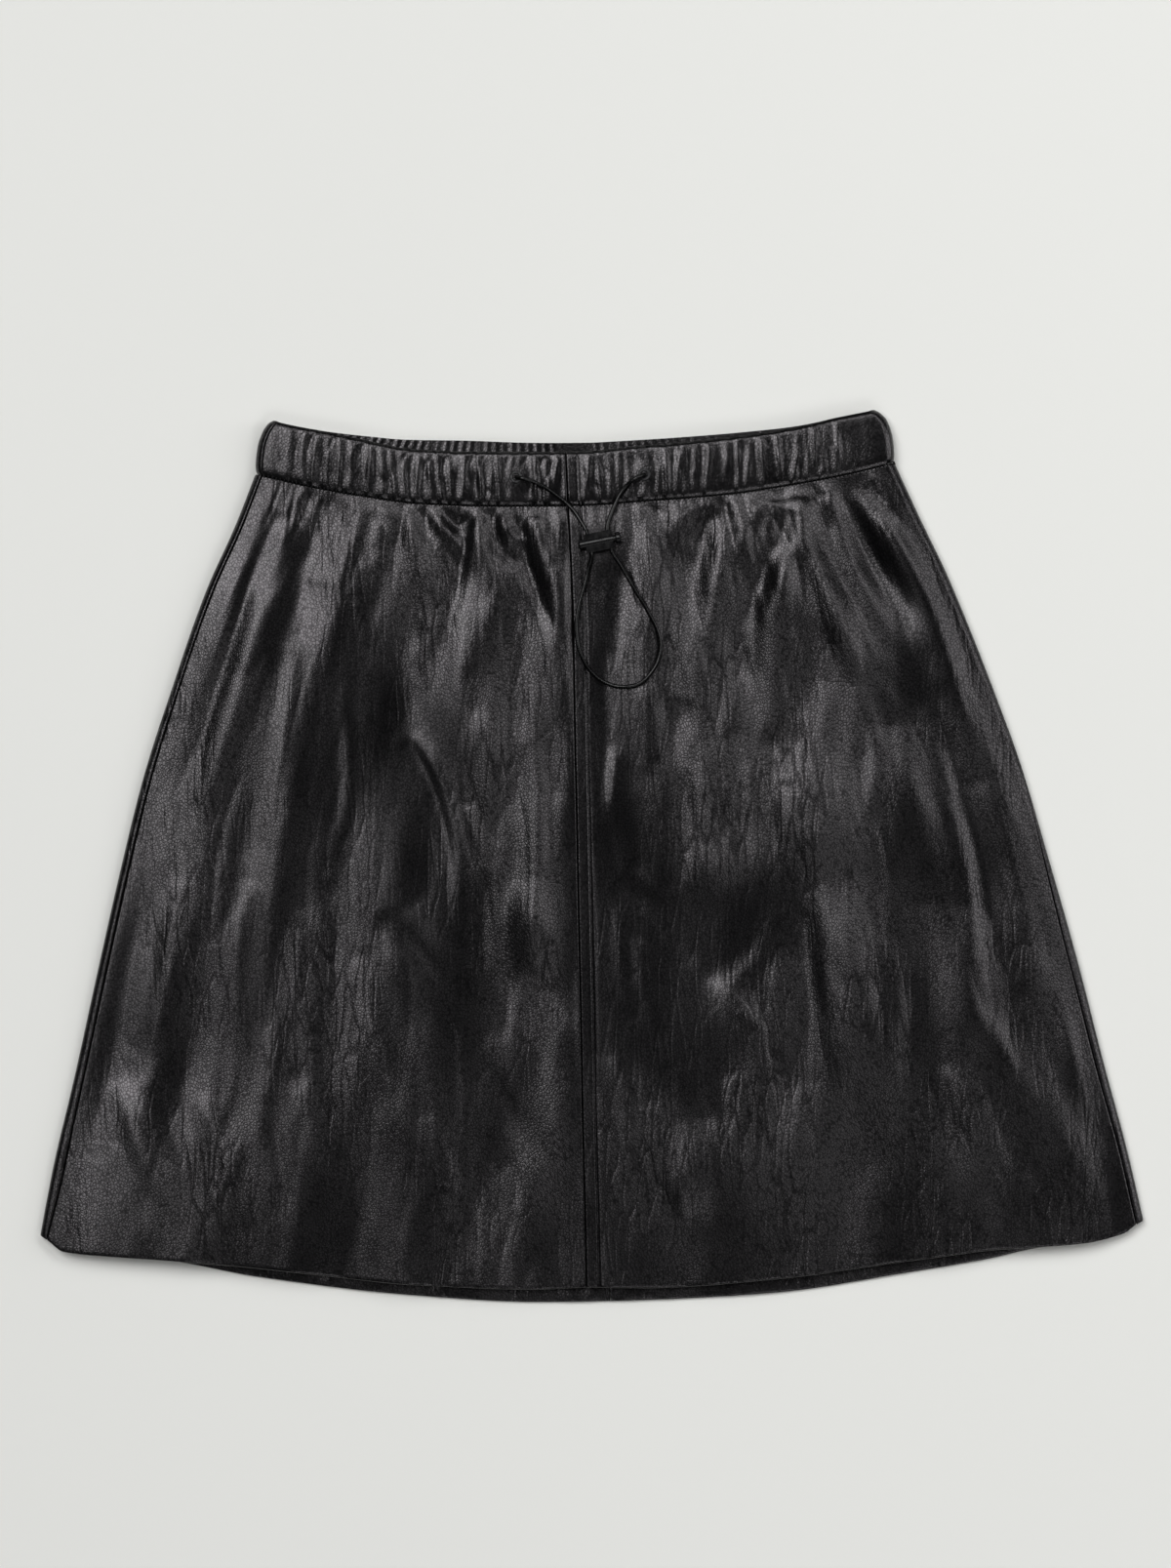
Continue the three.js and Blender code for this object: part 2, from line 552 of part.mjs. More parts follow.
function makePanels() {
  const group = new THREE.Group();
  for (const [word, side] of [["left", -1], ["right", 1]]) {
    const front = wallGeometry(
      PANEL_ROWS,
      (at) => frontColumns(SKIRT, side, at, PANEL_GATHERS),
      (entry, at) => frontPanelPoint(side, entry, at),
    );
    const back = wallGeometry(
      PANEL_ROWS,
      (at) => backPanelColumns(side, at),
      (entry, at) => backPanelPoint(side, entry, at),
    );
    group.add(namedMesh(`front_panel_${word}`, front, leather));
    group.add(namedMesh(`back_panel_${word}`, back, leather));
  }
  return group;
}

// The cutter that seats an eyelet in the band's face and opens the pocket that the cord goes into.
function eyeletCutter({ x, y, seat }) {
  const floor = seat - CORD_POCKET_DEPTH;
  const recess = EYELET_OUTER + EYELET_CLEARANCE;
  const pocket = CORD_RADIUS + EYELET_CLEARANCE;
  const above = seat + 10;
  return turned([[0, floor], [pocket, floor], [pocket, seat], [recess, seat], [recess, above], [0, above]])
    .translate(x, y, 0);
}

function makeBand() {
  const group = new THREE.Group();
  const seamShare = SEAM_GAP / 26;
  const rows = BAND_ROWS.map((at) => Math.max(at, seamShare));
  for (const [word, side, eyelet] of [["left", -1, EYELETS[0]], ["right", 1, EYELETS[1]]]) {
    const wall = wallGeometry(
      rows,
      (at) => frontColumns(BAND, side, at, BAND_GATHERS),
      (entry, at) => frontBandPoint(side, entry, at),
    );
    const cut = toSolid(wall).subtract(toSolid(eyeletCutter(eyelet)));
    group.add(namedMesh(`waistband_front_${word}`, fromSolid(cut), leather));
  }
  const back = wallGeometry(rows, backBandColumns, (entry, at) => backBandPoint(0, entry, at));
  group.add(namedMesh("waistband_back", back, leather));
  return group;
}

function makeEyelets() {
  const group = new THREE.Group();
  const edge = EYELET_HEIGHT * 0.4;
  for (const { name, x, y, seat } of EYELETS) {
    const ring = turned([
      [EYELET_INNER, 0],
      [EYELET_OUTER, 0],
      [EYELET_OUTER, EYELET_HEIGHT - edge],
      [EYELET_OUTER - edge, EYELET_HEIGHT],
      [EYELET_INNER + edge, EYELET_HEIGHT],
      [EYELET_INNER, EYELET_HEIGHT - edge],
      [EYELET_INNER, 0],
    ]);
    const mesh = namedMesh(name, ring, eyeletEnamel);
    mesh.position.set(x, y, seat + EYELET_CLEARANCE);
    group.add(mesh);
  }
  return group;
}

function makeCord() {
  const points = CORD_ROUTE.map((point) => new THREE.Vector3(...point));
  const path = new THREE.CatmullRomCurve3(points, false, "centripetal");
  const section = new THREE.Shape();
  for (let k = 0; k < CORD_SIDES; k += 1) {
    const angle = ((k + 0.5) / CORD_SIDES) * 2 * Math.PI;
    const point = [CORD_RADIUS * Math.cos(angle), CORD_RADIUS * Math.sin(angle)];
    if (k === 0) section.moveTo(...point);
    else section.lineTo(...point);
  }
  section.closePath();
  const tube = new THREE.ExtrudeGeometry(section, { steps: CORD_STEPS, extrudePath: path });
  return namedMesh("drawcord", tube, cordElastic);
}

// The lock lies along its own +X, from its closed tail to its knob, with the cord's holes across it.
const alongX = (geometry) => geometry.rotateY(Math.PI / 2);
const alongY = (geometry) => geometry.rotateX(-Math.PI / 2);

function lockBody() {
  const barrel = alongX(turned([
    [0, 0],
    [BARREL_RADIUS - BARREL_NOSE, 0],
    [BARREL_RADIUS - BARREL_NOSE * 0.3, BARREL_NOSE * 0.3],
    [BARREL_RADIUS, BARREL_NOSE],
    [BARREL_RADIUS, LOCK_LENGTH],
    [0, LOCK_LENGTH],
  ]));
  const outline = new THREE.Shape();
  const low = WING_CORNER - WING_HALF_WIDTH;
  const high = WING_HALF_WIDTH - WING_CORNER;
  outline.moveTo(WING_START, low);
  outline.absarc(WING_START + WING_CORNER, low, WING_CORNER, Math.PI, 1.5 * Math.PI);
  outline.absarc(LOCK_LENGTH - WING_CORNER, low, WING_CORNER, 1.5 * Math.PI, 2 * Math.PI);
  outline.absarc(LOCK_LENGTH - WING_CORNER, high, WING_CORNER, 0, 0.5 * Math.PI);
  outline.absarc(WING_START + WING_CORNER, high, WING_CORNER, 0.5 * Math.PI, Math.PI);
  outline.closePath();
  const wings = new THREE.ExtrudeGeometry(outline, {
    depth: 2 * WING_HALF_HEIGHT,
    bevelEnabled: false,
    curveSegments: 4,
  }).translate(0, 0, -WING_HALF_HEIGHT);
  const bore = alongX(rod(BORE_RADIUS, BORE_START, LOCK_LENGTH + 1));
  let body = toSolid(barrel).add(toSolid(wings)).subtract(toSolid(bore));
  const reach = WING_HALF_WIDTH + 1;
  for (const hole of CORD_HOLES) {
    const drill = alongY(rod(CORD_HOLE_RADIUS, -reach, reach)).translate(hole, 0, 0);
    body = body.subtract(toSolid(drill));
  }
  return fromSolid(body);
}

// The plunger's slots are longer than the cord is thick, so it can be pressed in past the cord.
function lockPlunger() {
  const stem = alongX(turned([
    [0, PLUNGER_START],
    [PLUNGER_RADIUS, PLUNGER_START],
    [PLUNGER_RADIUS, KNOB_START],
    [KNOB_RADIUS - KNOB_EDGE, KNOB_START],
    [KNOB_RADIUS, KNOB_START + KNOB_EDGE],
    [KNOB_RADIUS, KNOB_END - KNOB_EDGE],
    [KNOB_RADIUS - KNOB_EDGE, KNOB_END],
    [0, KNOB_END],
  ]));
  let plunger = toSolid(stem);
  const slotLength = 2 * CORD_HOLE_RADIUS + PLUNGER_TRAVEL;
  for (const hole of CORD_HOLES) {
    const slot = new THREE.BoxGeometry(slotLength, 4 * PLUNGER_RADIUS, 2 * SLOT_HALF_HEIGHT);
    slot.translate(hole + PLUNGER_TRAVEL / 2, 0, 0);
    plunger = plunger.subtract(toSolid(slot));
  }
  return fromSolid(plunger);
}

function makeLock() {
  const group = new THREE.Group();
  group.add(namedMesh("lock_body", lockBody(), lockPlastic));
  group.add(namedMesh("lock_button", lockPlunger(), lockPlastic));
  group.position.set(LOCK.x, LOCK.y, LOCK.z);
  group.rotation.z = THREE.MathUtils.degToRad(LOCK.tilt);
  return group;
}

const skirt = new THREE.Group();
skirt.add(makePanels(), makeBand(), makeEyelets(), makeCord(), makeLock());

export default skirt;
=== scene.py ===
"""A mini skirt in soft black faux leather, laid flat on a table: its looks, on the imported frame.

Shapes are worked out in millimetres and made in metres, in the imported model's frame: +X to the viewer's
right, +Y towards the waist and +Z up out of the front. The tables of the skirt, the band and the edges
repeat the solids' own, apart from the band's swell.
"""

import math

import bpy
import numpy as np
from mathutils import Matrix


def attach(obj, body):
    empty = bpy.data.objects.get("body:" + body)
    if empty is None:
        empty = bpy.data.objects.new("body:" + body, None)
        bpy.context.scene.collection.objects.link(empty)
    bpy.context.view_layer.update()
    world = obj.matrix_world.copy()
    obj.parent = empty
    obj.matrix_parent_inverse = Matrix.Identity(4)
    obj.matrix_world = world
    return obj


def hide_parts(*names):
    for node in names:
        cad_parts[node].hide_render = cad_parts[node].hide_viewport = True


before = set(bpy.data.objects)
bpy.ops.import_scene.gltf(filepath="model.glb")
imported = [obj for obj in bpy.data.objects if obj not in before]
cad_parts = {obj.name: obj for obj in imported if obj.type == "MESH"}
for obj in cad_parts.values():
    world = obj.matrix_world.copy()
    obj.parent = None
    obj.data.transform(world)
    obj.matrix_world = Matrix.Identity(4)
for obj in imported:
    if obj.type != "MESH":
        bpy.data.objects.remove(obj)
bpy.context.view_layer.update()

# Sizes shared with the solids
SEAM_GAP = 0.3
LEATHER_WALL = 1.2
HEM_WALL = 2.0
HEM_TOP = 0.919
BAND_WALL = 2.6
STRIP_WIDTH = 6.2
STRIP_RAISE = 0.5
STRIP_SLOPE = 0.6
SLOW_LIFT = 60.0
FOLDS_START = 14.0
PANEL_GATHERS = 10
PANEL_GATHER_DEPTH = 1.7
PANEL_GATHER_LENGTH = 34.0
BAND_GATHERS = 14
BACK_FLAT_STRETCH = 17.0
GATHER_UNEVENNESS = 0.35

# Sizes of the scene's own, some of them finer than the solids'
STEEP_LIFT = 16.0
SEAM_TUCK = 0.8
SEAM_TUCK_LENGTH = 5.0
PANEL_GATHER_SHARE = 0.45
BACK_GATHERS = 34
BACK_GATHER_DEPTH = 0.34
GROOVE_DEPTH = 0.6
GROOVE_WIDTH = 0.6
FLARE_WIDTH = 460

# How far each cut edge is rounded, and the thinnest wall left at a rounded edge
SEAM_ROUND = 0.7
BACK_SEAM_ROUND = 0.6
SIDE_ROUND = 0.5
WAIST_ROUND = 0.6
HEM_ROUND = 0.95
THINNEST_PANEL = 0.15
THINNEST_BAND = 0.4

# The shells' grids: their lengths, the steps at their edges and the columns about the strip's edge
FRONT_LENGTH = 396
BACK_LENGTH = 402
BAND_LENGTH = 26
EDGE_STEPS = (0.0, 0.12, 0.3, 0.6, 1.0)
STRIP_STEPS = (-1.1, -0.6, -0.25, 0.0, 0.25, 0.6, 1.1)
SIDES = (("left", -1), ("right", 1))

# Stitches: the pitch, the share that shows, the thread's radius, its lift and its inset from the strip's edge
STITCH_PITCH = 3.0
STITCH_SHARE = 0.72
STITCH_RADIUS = 0.26
STITCH_LIFT = 0.05
STITCH_INSET = 1.3
WAIST_STITCH_PITCH = 2.0
WAIST_STITCH_RADIUS = 0.3


def table(names, rows):
    """A table's columns by name."""
    return dict(zip(names.split(), np.array(rows, dtype=float).T))


# The skirt from its waist seam (at 0) to its hem (at 1)
SKIRT = table("at half middle roll crown left_seam right_seam front_seam back_seam", [
    (0.00, 160.6, -8.5, 4.5, 12.0, 6.0, -1.0, -12.0, -9.8),
    (0.07, 172.0, -7.6, 4.3, 13.0, 5.9, -1.0, -10.6, -8.4),
    (0.15, 186.2, -7.2, 4.1, 13.2, 5.8, -0.6, -9.4, -6.9),
    (0.28, 205.0, -5.9, 3.9, 13.2, 5.6, 0.0, -8.6, -4.4),
    (0.40, 220.7, -4.9, 3.6, 13.0, 5.8, 1.5, -7.6, -2.1),
    (0.53, 234.2, -3.7, 3.4, 12.6, 5.9, 4.5, -6.6, 0.4),
    (0.66, 246.8, -2.3, 3.3, 12.2, 6.1, 6.0, -5.5, 2.9),
    (0.79, 258.6, -1.4, 3.2, 11.6, 6.2, 6.0, -4.6, 5.4),
    (0.91, 270.1, -0.7, 3.1, 11.0, 7.0, 5.6, -3.4, 7.8),
    (1.00, 277.35, 0.0, 3.0, 10.6, 5.2, 5.6, -2.7, 9.5),
])

# The waistband from its seam (at 0) to its folded top edge (at 1)
BAND = table("at half middle roll crown left_seam right_seam front_seam swell", [
    (0.00, 160.6, -8.5, 5.0, 12.6, 6.3, -1.0, -12.0, -1.0),
    (0.08, 160.5, -8.5, 5.0, 12.6, 6.3, -1.0, -12.1, -0.2),
    (0.20, 160.4, -8.5, 5.0, 12.6, 6.3, -1.0, -12.2, 0.0),
    (0.50, 159.5, -8.5, 5.0, 12.6, 6.3, -1.0, -12.6, 0.0),
    (0.82, 156.5, -8.5, 5.0, 12.4, 6.3, -1.0, -13.0, 0.0),
    (0.94, 153.9, -8.9, 5.0, 12.3, 6.3, -1.0, -13.1, -0.1),
    (1.00, 152.4, -9.1, 5.0, 12.2, 6.3, -1.0, -13.2, -1.3),
])

# Three edges, each as the y of the front and of the back at shares across the laid width
BAND_TOP = table("at front back", [
    (0.000, 218.8, 218.8), (0.045, 215.7, 215.7), (0.092, 213.1, 213.5), (0.150, 209.3, 211.4),
    (0.230, 204.5, 209.3), (0.320, 203.1, 208.9), (0.430, 202.9, 207.8), (0.500, 203.0, 207.7),
    (0.600, 205.6, 209.1), (0.720, 209.0, 211.6), (0.820, 212.9, 214.4), (0.865, 215.2, 216.1),
    (0.930, 219.9, 220.0), (1.000, 224.2, 224.2),
])
WAIST_SEAM = table("at front back", [
    (0.000, 191.8, 191.8), (0.045, 188.4, 189.6), (0.090, 185.2, 187.4), (0.160, 181.2, 185.2),
    (0.260, 176.9, 183.2), (0.380, 175.7, 182.1), (0.500, 176.0, 181.8), (0.620, 178.5, 183.2),
    (0.740, 181.7, 186.0), (0.840, 186.5, 189.6), (0.920, 191.3, 193.2), (1.000, 197.5, 197.5),
])
HEM = table("at front back", [
    (0.0000, -190.9, -190.9), (0.0065, -192.8, -192.8), (0.0220, -198.7, -198.7),
    (0.0700, -201.1, -201.1), (0.1100, -202.6, -202.9), (0.2000, -206.9, -211.8),
    (0.3400, -215.0, -220.9), (0.4500, -217.3, -224.2), (0.5000, -216.3, -223.9),
    (0.5500, -216.6, -223.2), (0.6700, -211.9, -219.3), (0.7850, -203.2, -209.5),
    (0.8600, -197.8, -202.4), (0.9050, -196.1, -196.9), (0.9450, -194.3, -194.3),
    (0.9820, -189.4, -189.4), (0.9930, -185.0, -185.0), (1.0000, -183.5, -183.5),
])

# The largest folds: from x, y to x, y, width, height over 0 or depth under it, bow to the left
FOLDS = [
    (-151, 184, -226, 17, 16, 0.4, -8), (-140, 178, -188, 30, 10, -1.6, -4),
    (-130, 176, -175, -12, 12, 0.7, -6), (-99, 174, -67, 8, 15, 4, -10), (-69, 168, -79, 74, 8, -3, 4),
    (-53, 166, -56, 4, 13, 3.4, 0), (-38, 168, -22, 82, 7, -3, -3), (-28, 172, -18, 56, 8, 2.2, 3),
    (-118, 104, -40, -140, 26, -3.4, -6), (-112, -34, -32, -150, 9, 2.8, -6),
    (-200, 90, -236, -92, 14, 1.2, 4), (-242, -104, -206, -192, 14, 1.2, 0), (26, 172, 8, 26, 10, 2.6, -4),
    (8, 92, 12, -74, 14, -1.9, 0), (53, 178, 42, 112, 8, -3, 3), (70, 176, 52, 60, 10, 3.2, 3),
    (95, 180, 65, 72, 9, -3, 2), (100, 182, 74, 60, 9, 4, 3), (103, 166, 146, 66, 10, 3.8, 4),
    (100, 124, 95, 30, 12, -3, 0), (84, -20, 128, 56, 17, 3.6, 0), (-40, -60, -22, 10, 17, 2, 0),
    (119, 188, 160, 108, 9, -3.8, 4), (134, 186, 186, 78, 11, 3, 5), (158, 142, 224, -8, 14, 2.6, 8),
    (112, -6, 120, -122, 13, 4.4, -5), (176, -20, 178, -132, 14, 4, -4),
    (186, -100, 196, -190, 13, 3.2, 2), (48, -128, 50, -188, 12, 3.4, 2), (84, 60, 92, -14, 14, 4, -3),
    (-36, -8, -32, -66, 11, 4.2, 3), (140, 70, 150, -10, 14, 3.6, -4), (132, -60, 140, -150, 15, 3, 2),
    (-190, 6, -202, -112, 13, 1.6, 3), (30, -12, 92, 2, 13, 1.8, -4), (60, -62, 100, -40, 13, -1.6, -9),
    (52, -62, 92, -96, 11, 1.4, 5), (2, 34, 56, -92, 20, -2.6, -6), (192, -70, 248, -176, 16, 3.4, 4),
    (-20, -100, -16, -170, 12, 0.9, 2), (100, -110, 96, -180, 12, 2.2, 2),
]

# The photograph's scale and the pixel that shows the frame's origin
MM_PER_PIXEL = 0.49
ORIGIN_PIXEL = (606.5, 877.5)

# How much wider and lower the creases are made than their table says, so that they stay soft
CREASE_WIDTH = 1.4
CREASE_HEIGHT = 0.66
FOLD_HEIGHT = 0.8
CREASE_REACH = 2.6
PATH_STEPS = 5

# How crinkled the leather is away from the patches, and at the least
CRINKLE_LEVEL = 0.42
CRINKLE_LEAST = 0.12

# A ridge is bright on its flank towards the light: its crest stands this many widths beyond that line
CREST_SHIFT = np.array((0.6, -0.25))

# Smaller creases of the front, read off the photograph: width, height over 0 or depth under it in
# millimetres, then x and y of each pixel that it runs through
CREASES = [
    # The left front, below the waistband
    (4.5, 0.5, 300, 499, 288, 521, 268, 560), (5, -1.2, 276, 520, 262, 570, 246, 640),
    (4, 0.5, 317, 506, 300, 530, 280, 560), (3, -1.2, 309, 504, 294, 527, 284, 545),
    (5.5, -2.2, 346, 509, 326, 545, 300, 588, 283, 660), (6, 0.8, 360, 525, 341, 569, 336, 624, 330, 700),
    (8, -0.9, 312, 590, 300, 650, 290, 740), (4, -1.4, 381, 516, 369, 545, 360, 580),
    (2.4, 0.6, 362, 597, 366, 630, 369, 662), (3.2, 2.2, 413, 519, 417, 545, 429, 583, 440, 620),
    (2.6, -1.9, 428, 519, 434, 548, 446, 580), (2.4, 2.6, 444, 519, 449, 538, 463, 555, 467, 575),
    (2.4, -2.4, 452, 519, 463, 536, 474, 533, 479, 521),
    (2.8, -2.8, 478, 523, 470, 560, 466, 597, 451, 640), (2.4, 0.7, 465, 597, 446, 640, 432, 668),
    (5.5, 3.2, 484, 523, 484, 556, 497, 600, 489, 640, 480, 690),
    (2.6, -2.4, 498, 521, 502, 552, 520, 572, 529, 566), (2.8, 2.8, 512, 520, 513, 538, 526, 550, 532, 546),
    (2.8, -3, 524, 528, 531, 556, 536, 580, 549, 617, 574, 660),
    (5, 2.6, 542, 524, 546, 560, 565, 600, 572, 640), (3, -1.2, 560, 522, 566, 560, 578, 590),
    (4, 1.4, 580, 560, 574, 600, 564, 650, 560, 720),
    # The left front, its middle and its hem
    (5, 1.5, 240, 560, 215, 640, 190, 740), (3, -1, 262, 560, 238, 640, 212, 720, 190, 800),
    (4, 1.3, 262, 600, 248, 660, 222, 740, 200, 830), (3, 0.8, 300, 650, 290, 720, 280, 790, 262, 860),
    (2.5, 0.7, 345, 700, 352, 760, 350, 830, 330, 880), (3, -1, 411, 756, 437, 799, 456, 873, 451, 953),
    (2.5, 1, 420, 750, 446, 800, 464, 870, 462, 950), (3, 1.4, 486, 730, 474, 800, 486, 860, 500, 905),
    (2.5, -1, 491, 748, 480, 825, 515, 868), (2.5, -0.9, 493, 889, 494, 930, 493, 975),
    (2.5, 0.9, 500, 880, 504, 930, 500, 1000), (5, -1.5, 523, 761, 527, 850, 525, 930),
    (4, 1.4, 540, 700, 545, 780, 548, 850, 540, 930, 549, 969, 515, 1033),
    (3, 1.2, 565, 815, 571, 847, 565, 900, 572, 960), (2.5, -1, 556, 760, 560, 840, 556, 920),
    (5, -2.8, 385, 930, 437, 1005, 477, 1070, 510, 1130, 545, 1190),
    (6, 2.2, 410, 925, 462, 990, 506, 1052, 536, 1108, 562, 1165),
    (3, -1.2, 531, 993, 556, 1012, 575, 1050), (5.5, 0.7, 545, 1010, 560, 1060, 566, 1130, 570, 1200),
    (3, 0.6, 580, 1040, 582, 1120, 585, 1200), (4, 1.2, 300, 930, 296, 1000, 310, 1080, 300, 1150),
    (3, -0.9, 330, 900, 340, 980, 335, 1060), (5, 1.4, 360, 980, 375, 1060, 400, 1130, 420, 1200),
    (4, 1.2, 250, 900, 235, 990, 240, 1080, 225, 1150), (3, 1, 180, 900, 165, 990, 150, 1080),
    (4, 1.4, 115, 1106, 140, 1180, 180, 1250), (3.5, 1.2, 200, 1120, 230, 1190, 250, 1255),
    (4, 1.4, 300, 1106, 322, 1180, 340, 1255), (3, -1.2, 150, 1110, 180, 1180, 205, 1240),
    (3, -1, 270, 1120, 285, 1200, 300, 1255), (4, 1.2, 430, 1140, 450, 1200, 470, 1262),
    (3, 1, 500, 1190, 520, 1230, 540, 1265),
    # The right front, below the waistband
    (3, 1.2, 606, 524, 608, 560, 606, 600), (5.5, -1.5, 652, 521, 640, 570, 627, 620, 614, 680),
    (6, 2, 664, 520, 654, 560, 658, 612, 650, 680), (3, 1.2, 690, 516, 684, 540, 668, 560),
    (3, 1.3, 706, 516, 697, 534, 690, 560), (4.5, -2.2, 724, 516, 712, 554, 702, 612, 695, 665),
    (5, 2, 735, 516, 730, 560, 722, 600, 712, 650, 700, 700), (3, -1, 748, 540, 742, 580, 733, 620),
    (3.5, 1.6, 769, 514, 756, 545, 743, 570, 736, 610), (3, -1.3, 780, 514, 770, 545, 760, 570),
    (4, 1.8, 789, 510, 790, 524, 788, 540), (4.5, -2.4, 803, 520, 790, 560, 772, 600, 755, 640),
    (4.5, 2.6, 811, 506, 806, 540, 796, 575, 772, 628, 748, 682),
    (4.5, 2.6, 812, 506, 820, 554, 839, 597, 858, 645, 882, 690),
    (4, -2, 824, 512, 836, 560, 850, 590, 868, 614, 890, 650), (3, 1.6, 838, 508, 843, 522, 844, 538),
    (4, 1.4, 852, 530, 866, 570, 885, 610, 905, 650),
    (5, -2.6, 856, 499, 877, 554, 914, 602, 938, 640, 960, 690),
    (5, 2.2, 866, 494, 888, 526, 916, 556, 942, 592, 970, 650, 985, 720),
    (4, 1.6, 904, 484, 926, 516, 945, 545, 965, 600), (3, -1, 884, 494, 905, 520, 925, 545),
    # The right front, its middle and its hem
    (3, -1.6, 611, 660, 613, 740, 614, 820, 627, 900), (3, 1.2, 626, 766, 622, 810, 613, 850),
    (4, 1.4, 656, 700, 660, 740, 656, 790), (5, -1.6, 693, 713, 680, 750, 662, 785),
    (3, -0.9, 699, 788, 702, 840, 701, 900), (3, 1, 708, 780, 712, 840, 712, 900),
    (2.5, -0.9, 715, 809, 720, 863, 736, 916), (3.5, 1.3, 728, 760, 735, 830, 750, 900),
    (2.5, -0.9, 752, 863, 758, 890, 765, 916), (3, 1, 760, 780, 766, 840, 778, 900),
    (2.5, -0.9, 787, 740, 785, 820, 790, 890), (4.5, 1.6, 745, 690, 735, 740, 722, 790),
    (4.5, 1.8, 800, 640, 790, 700, 780, 760), (5, -1.5, 830, 640, 820, 700, 800, 770, 796, 850),
    (5, 1.8, 870, 700, 860, 780, 862, 860, 852, 930), (3, -1, 880, 760, 872, 840, 874, 920),
    (3, 1.2, 892, 720, 888, 800, 890, 880, 900, 960),
    (4, -1.5, 629, 896, 648, 912, 669, 932, 690, 970, 731, 1017),
    (4, 0.9, 640, 892, 668, 915, 684, 940, 706, 972), (4, 1.3, 735, 1018, 763, 985, 781, 955, 790, 925),
    (3.5, 1.3, 720, 1000, 750, 1030, 790, 1060), (2.5, -0.9, 781, 967, 780, 1047, 786, 1120),
    (2.4, 0.8, 629, 927, 632, 985, 640, 1040), (3, 1, 650, 960, 655, 1010, 668, 1060),
    (5, 1.6, 835, 905, 842, 980, 846, 1060, 852, 1120), (4, -1.2, 816, 930, 822, 1010, 826, 1090),
    (4, 1.3, 900, 960, 910, 1040, 905, 1120), (4, -1.2, 960, 750, 985, 840, 1005, 930, 1012, 1010),
    (4, 1.4, 940, 720, 965, 810, 985, 900, 990, 990), (4, 1.3, 1000, 800, 1030, 880, 1050, 960),
    (5, 1.6, 1028, 735, 1050, 810, 1065, 880, 1090, 980), (4, 1.4, 1075, 980, 1090, 1060, 1110, 1150),
    (4, 1.3, 1000, 1030, 1040, 1110, 1085, 1210), (3, -1.1, 980, 1050, 1015, 1130, 1050, 1215),
    (4, 1.3, 960, 1090, 985, 1150, 1000, 1230), (4, 1.3, 650, 1130, 675, 1190, 700, 1245),
    (4, 1.2, 740, 1100, 760, 1170, 770, 1240), (3, -1, 700, 1100, 720, 1160, 738, 1230),
    (4, 1.1, 860, 1150, 880, 1200, 890, 1240), (3, 1, 620, 1080, 640, 1140, 640, 1210),
]

# Where the leather is crinkled (over 0) or drawn smooth (under it): pixel x, y, radius x, radius y, amount
PATCHES = [
    (425, 625, 35, 60, 0.6), (520, 800, 38, 110, 0.8), (565, 740, 20, 120, 0.4),
    (540, 980, 35, 90, 0.5), (740, 760, 36, 130, 0.8), (860, 690, 50, 130, 0.55),
    (860, 880, 30, 110, 0.55), (1080, 960, 25, 120, 0.6), (985, 1150, 25, 70, 0.3),
    (210, 730, 36, 110, 0.55), (205, 1225, 80, 45, 0.35), (560, 1200, 25, 60, 0.5),
    (345, 1010, 60, 80, 0.2), (680, 620, 26, 80, 0.4), (790, 1180, 120, 60, 0.15),
    (285, 600, 20, 90, -0.5), (385, 780, 70, 110, -0.5), (450, 900, 30, 110, -0.4),
    (400, 1000, 60, 100, -0.2), (530, 1150, 40, 90, -0.15), (670, 960, 45, 100, -0.5),
    (620, 800, 14, 150, -0.4), (760, 940, 55, 45, -0.45), (955, 660, 38, 75, -0.45),
    (680, 1060, 60, 50, -0.3), (930, 1000, 40, 160, -0.2), (1010, 1240, 60, 40, -0.2),
    (245, 560, 45, 60, -0.4), (190, 700, 25, 80, -0.2), (300, 640, 22, 40, -0.3),
    (600, 800, 30, 130, -0.4), (265, 980, 30, 130, -0.35), (940, 960, 50, 60, 0.3),
    (215, 590, 35, 90, -0.25), (120, 980, 35, 170, -0.25), (640, 860, 20, 120, -0.3),
    (880, 1110, 110, 120, 0.15), (650, 1190, 60, 70, 0.15), (800, 860, 70, 50, 0.3),
]

# The ridges of the gathered front band, as pixels across: each stands up between two tucks
BAND_RIDGES = {-1: [
    295, 312, 322, 335, 348, 360, 379, 392, 403, 413, 428, 441, 451, 461, 476, 492, 504, 511, 525,
    549, 561, 569,
], 1: [
    603, 614, 626, 634, 644, 662, 675, 683, 695, 702, 712, 725, 745, 756, 767, 781, 798, 816, 827,
    834, 844, 858,
]}

# Where something lies on the cloth: x, y, radius
CALM_SPOTS = [(3.8, 157.8, 15.0), (-38.0, 190.2, 6.5), (26.2, 191.4, 6.5)]

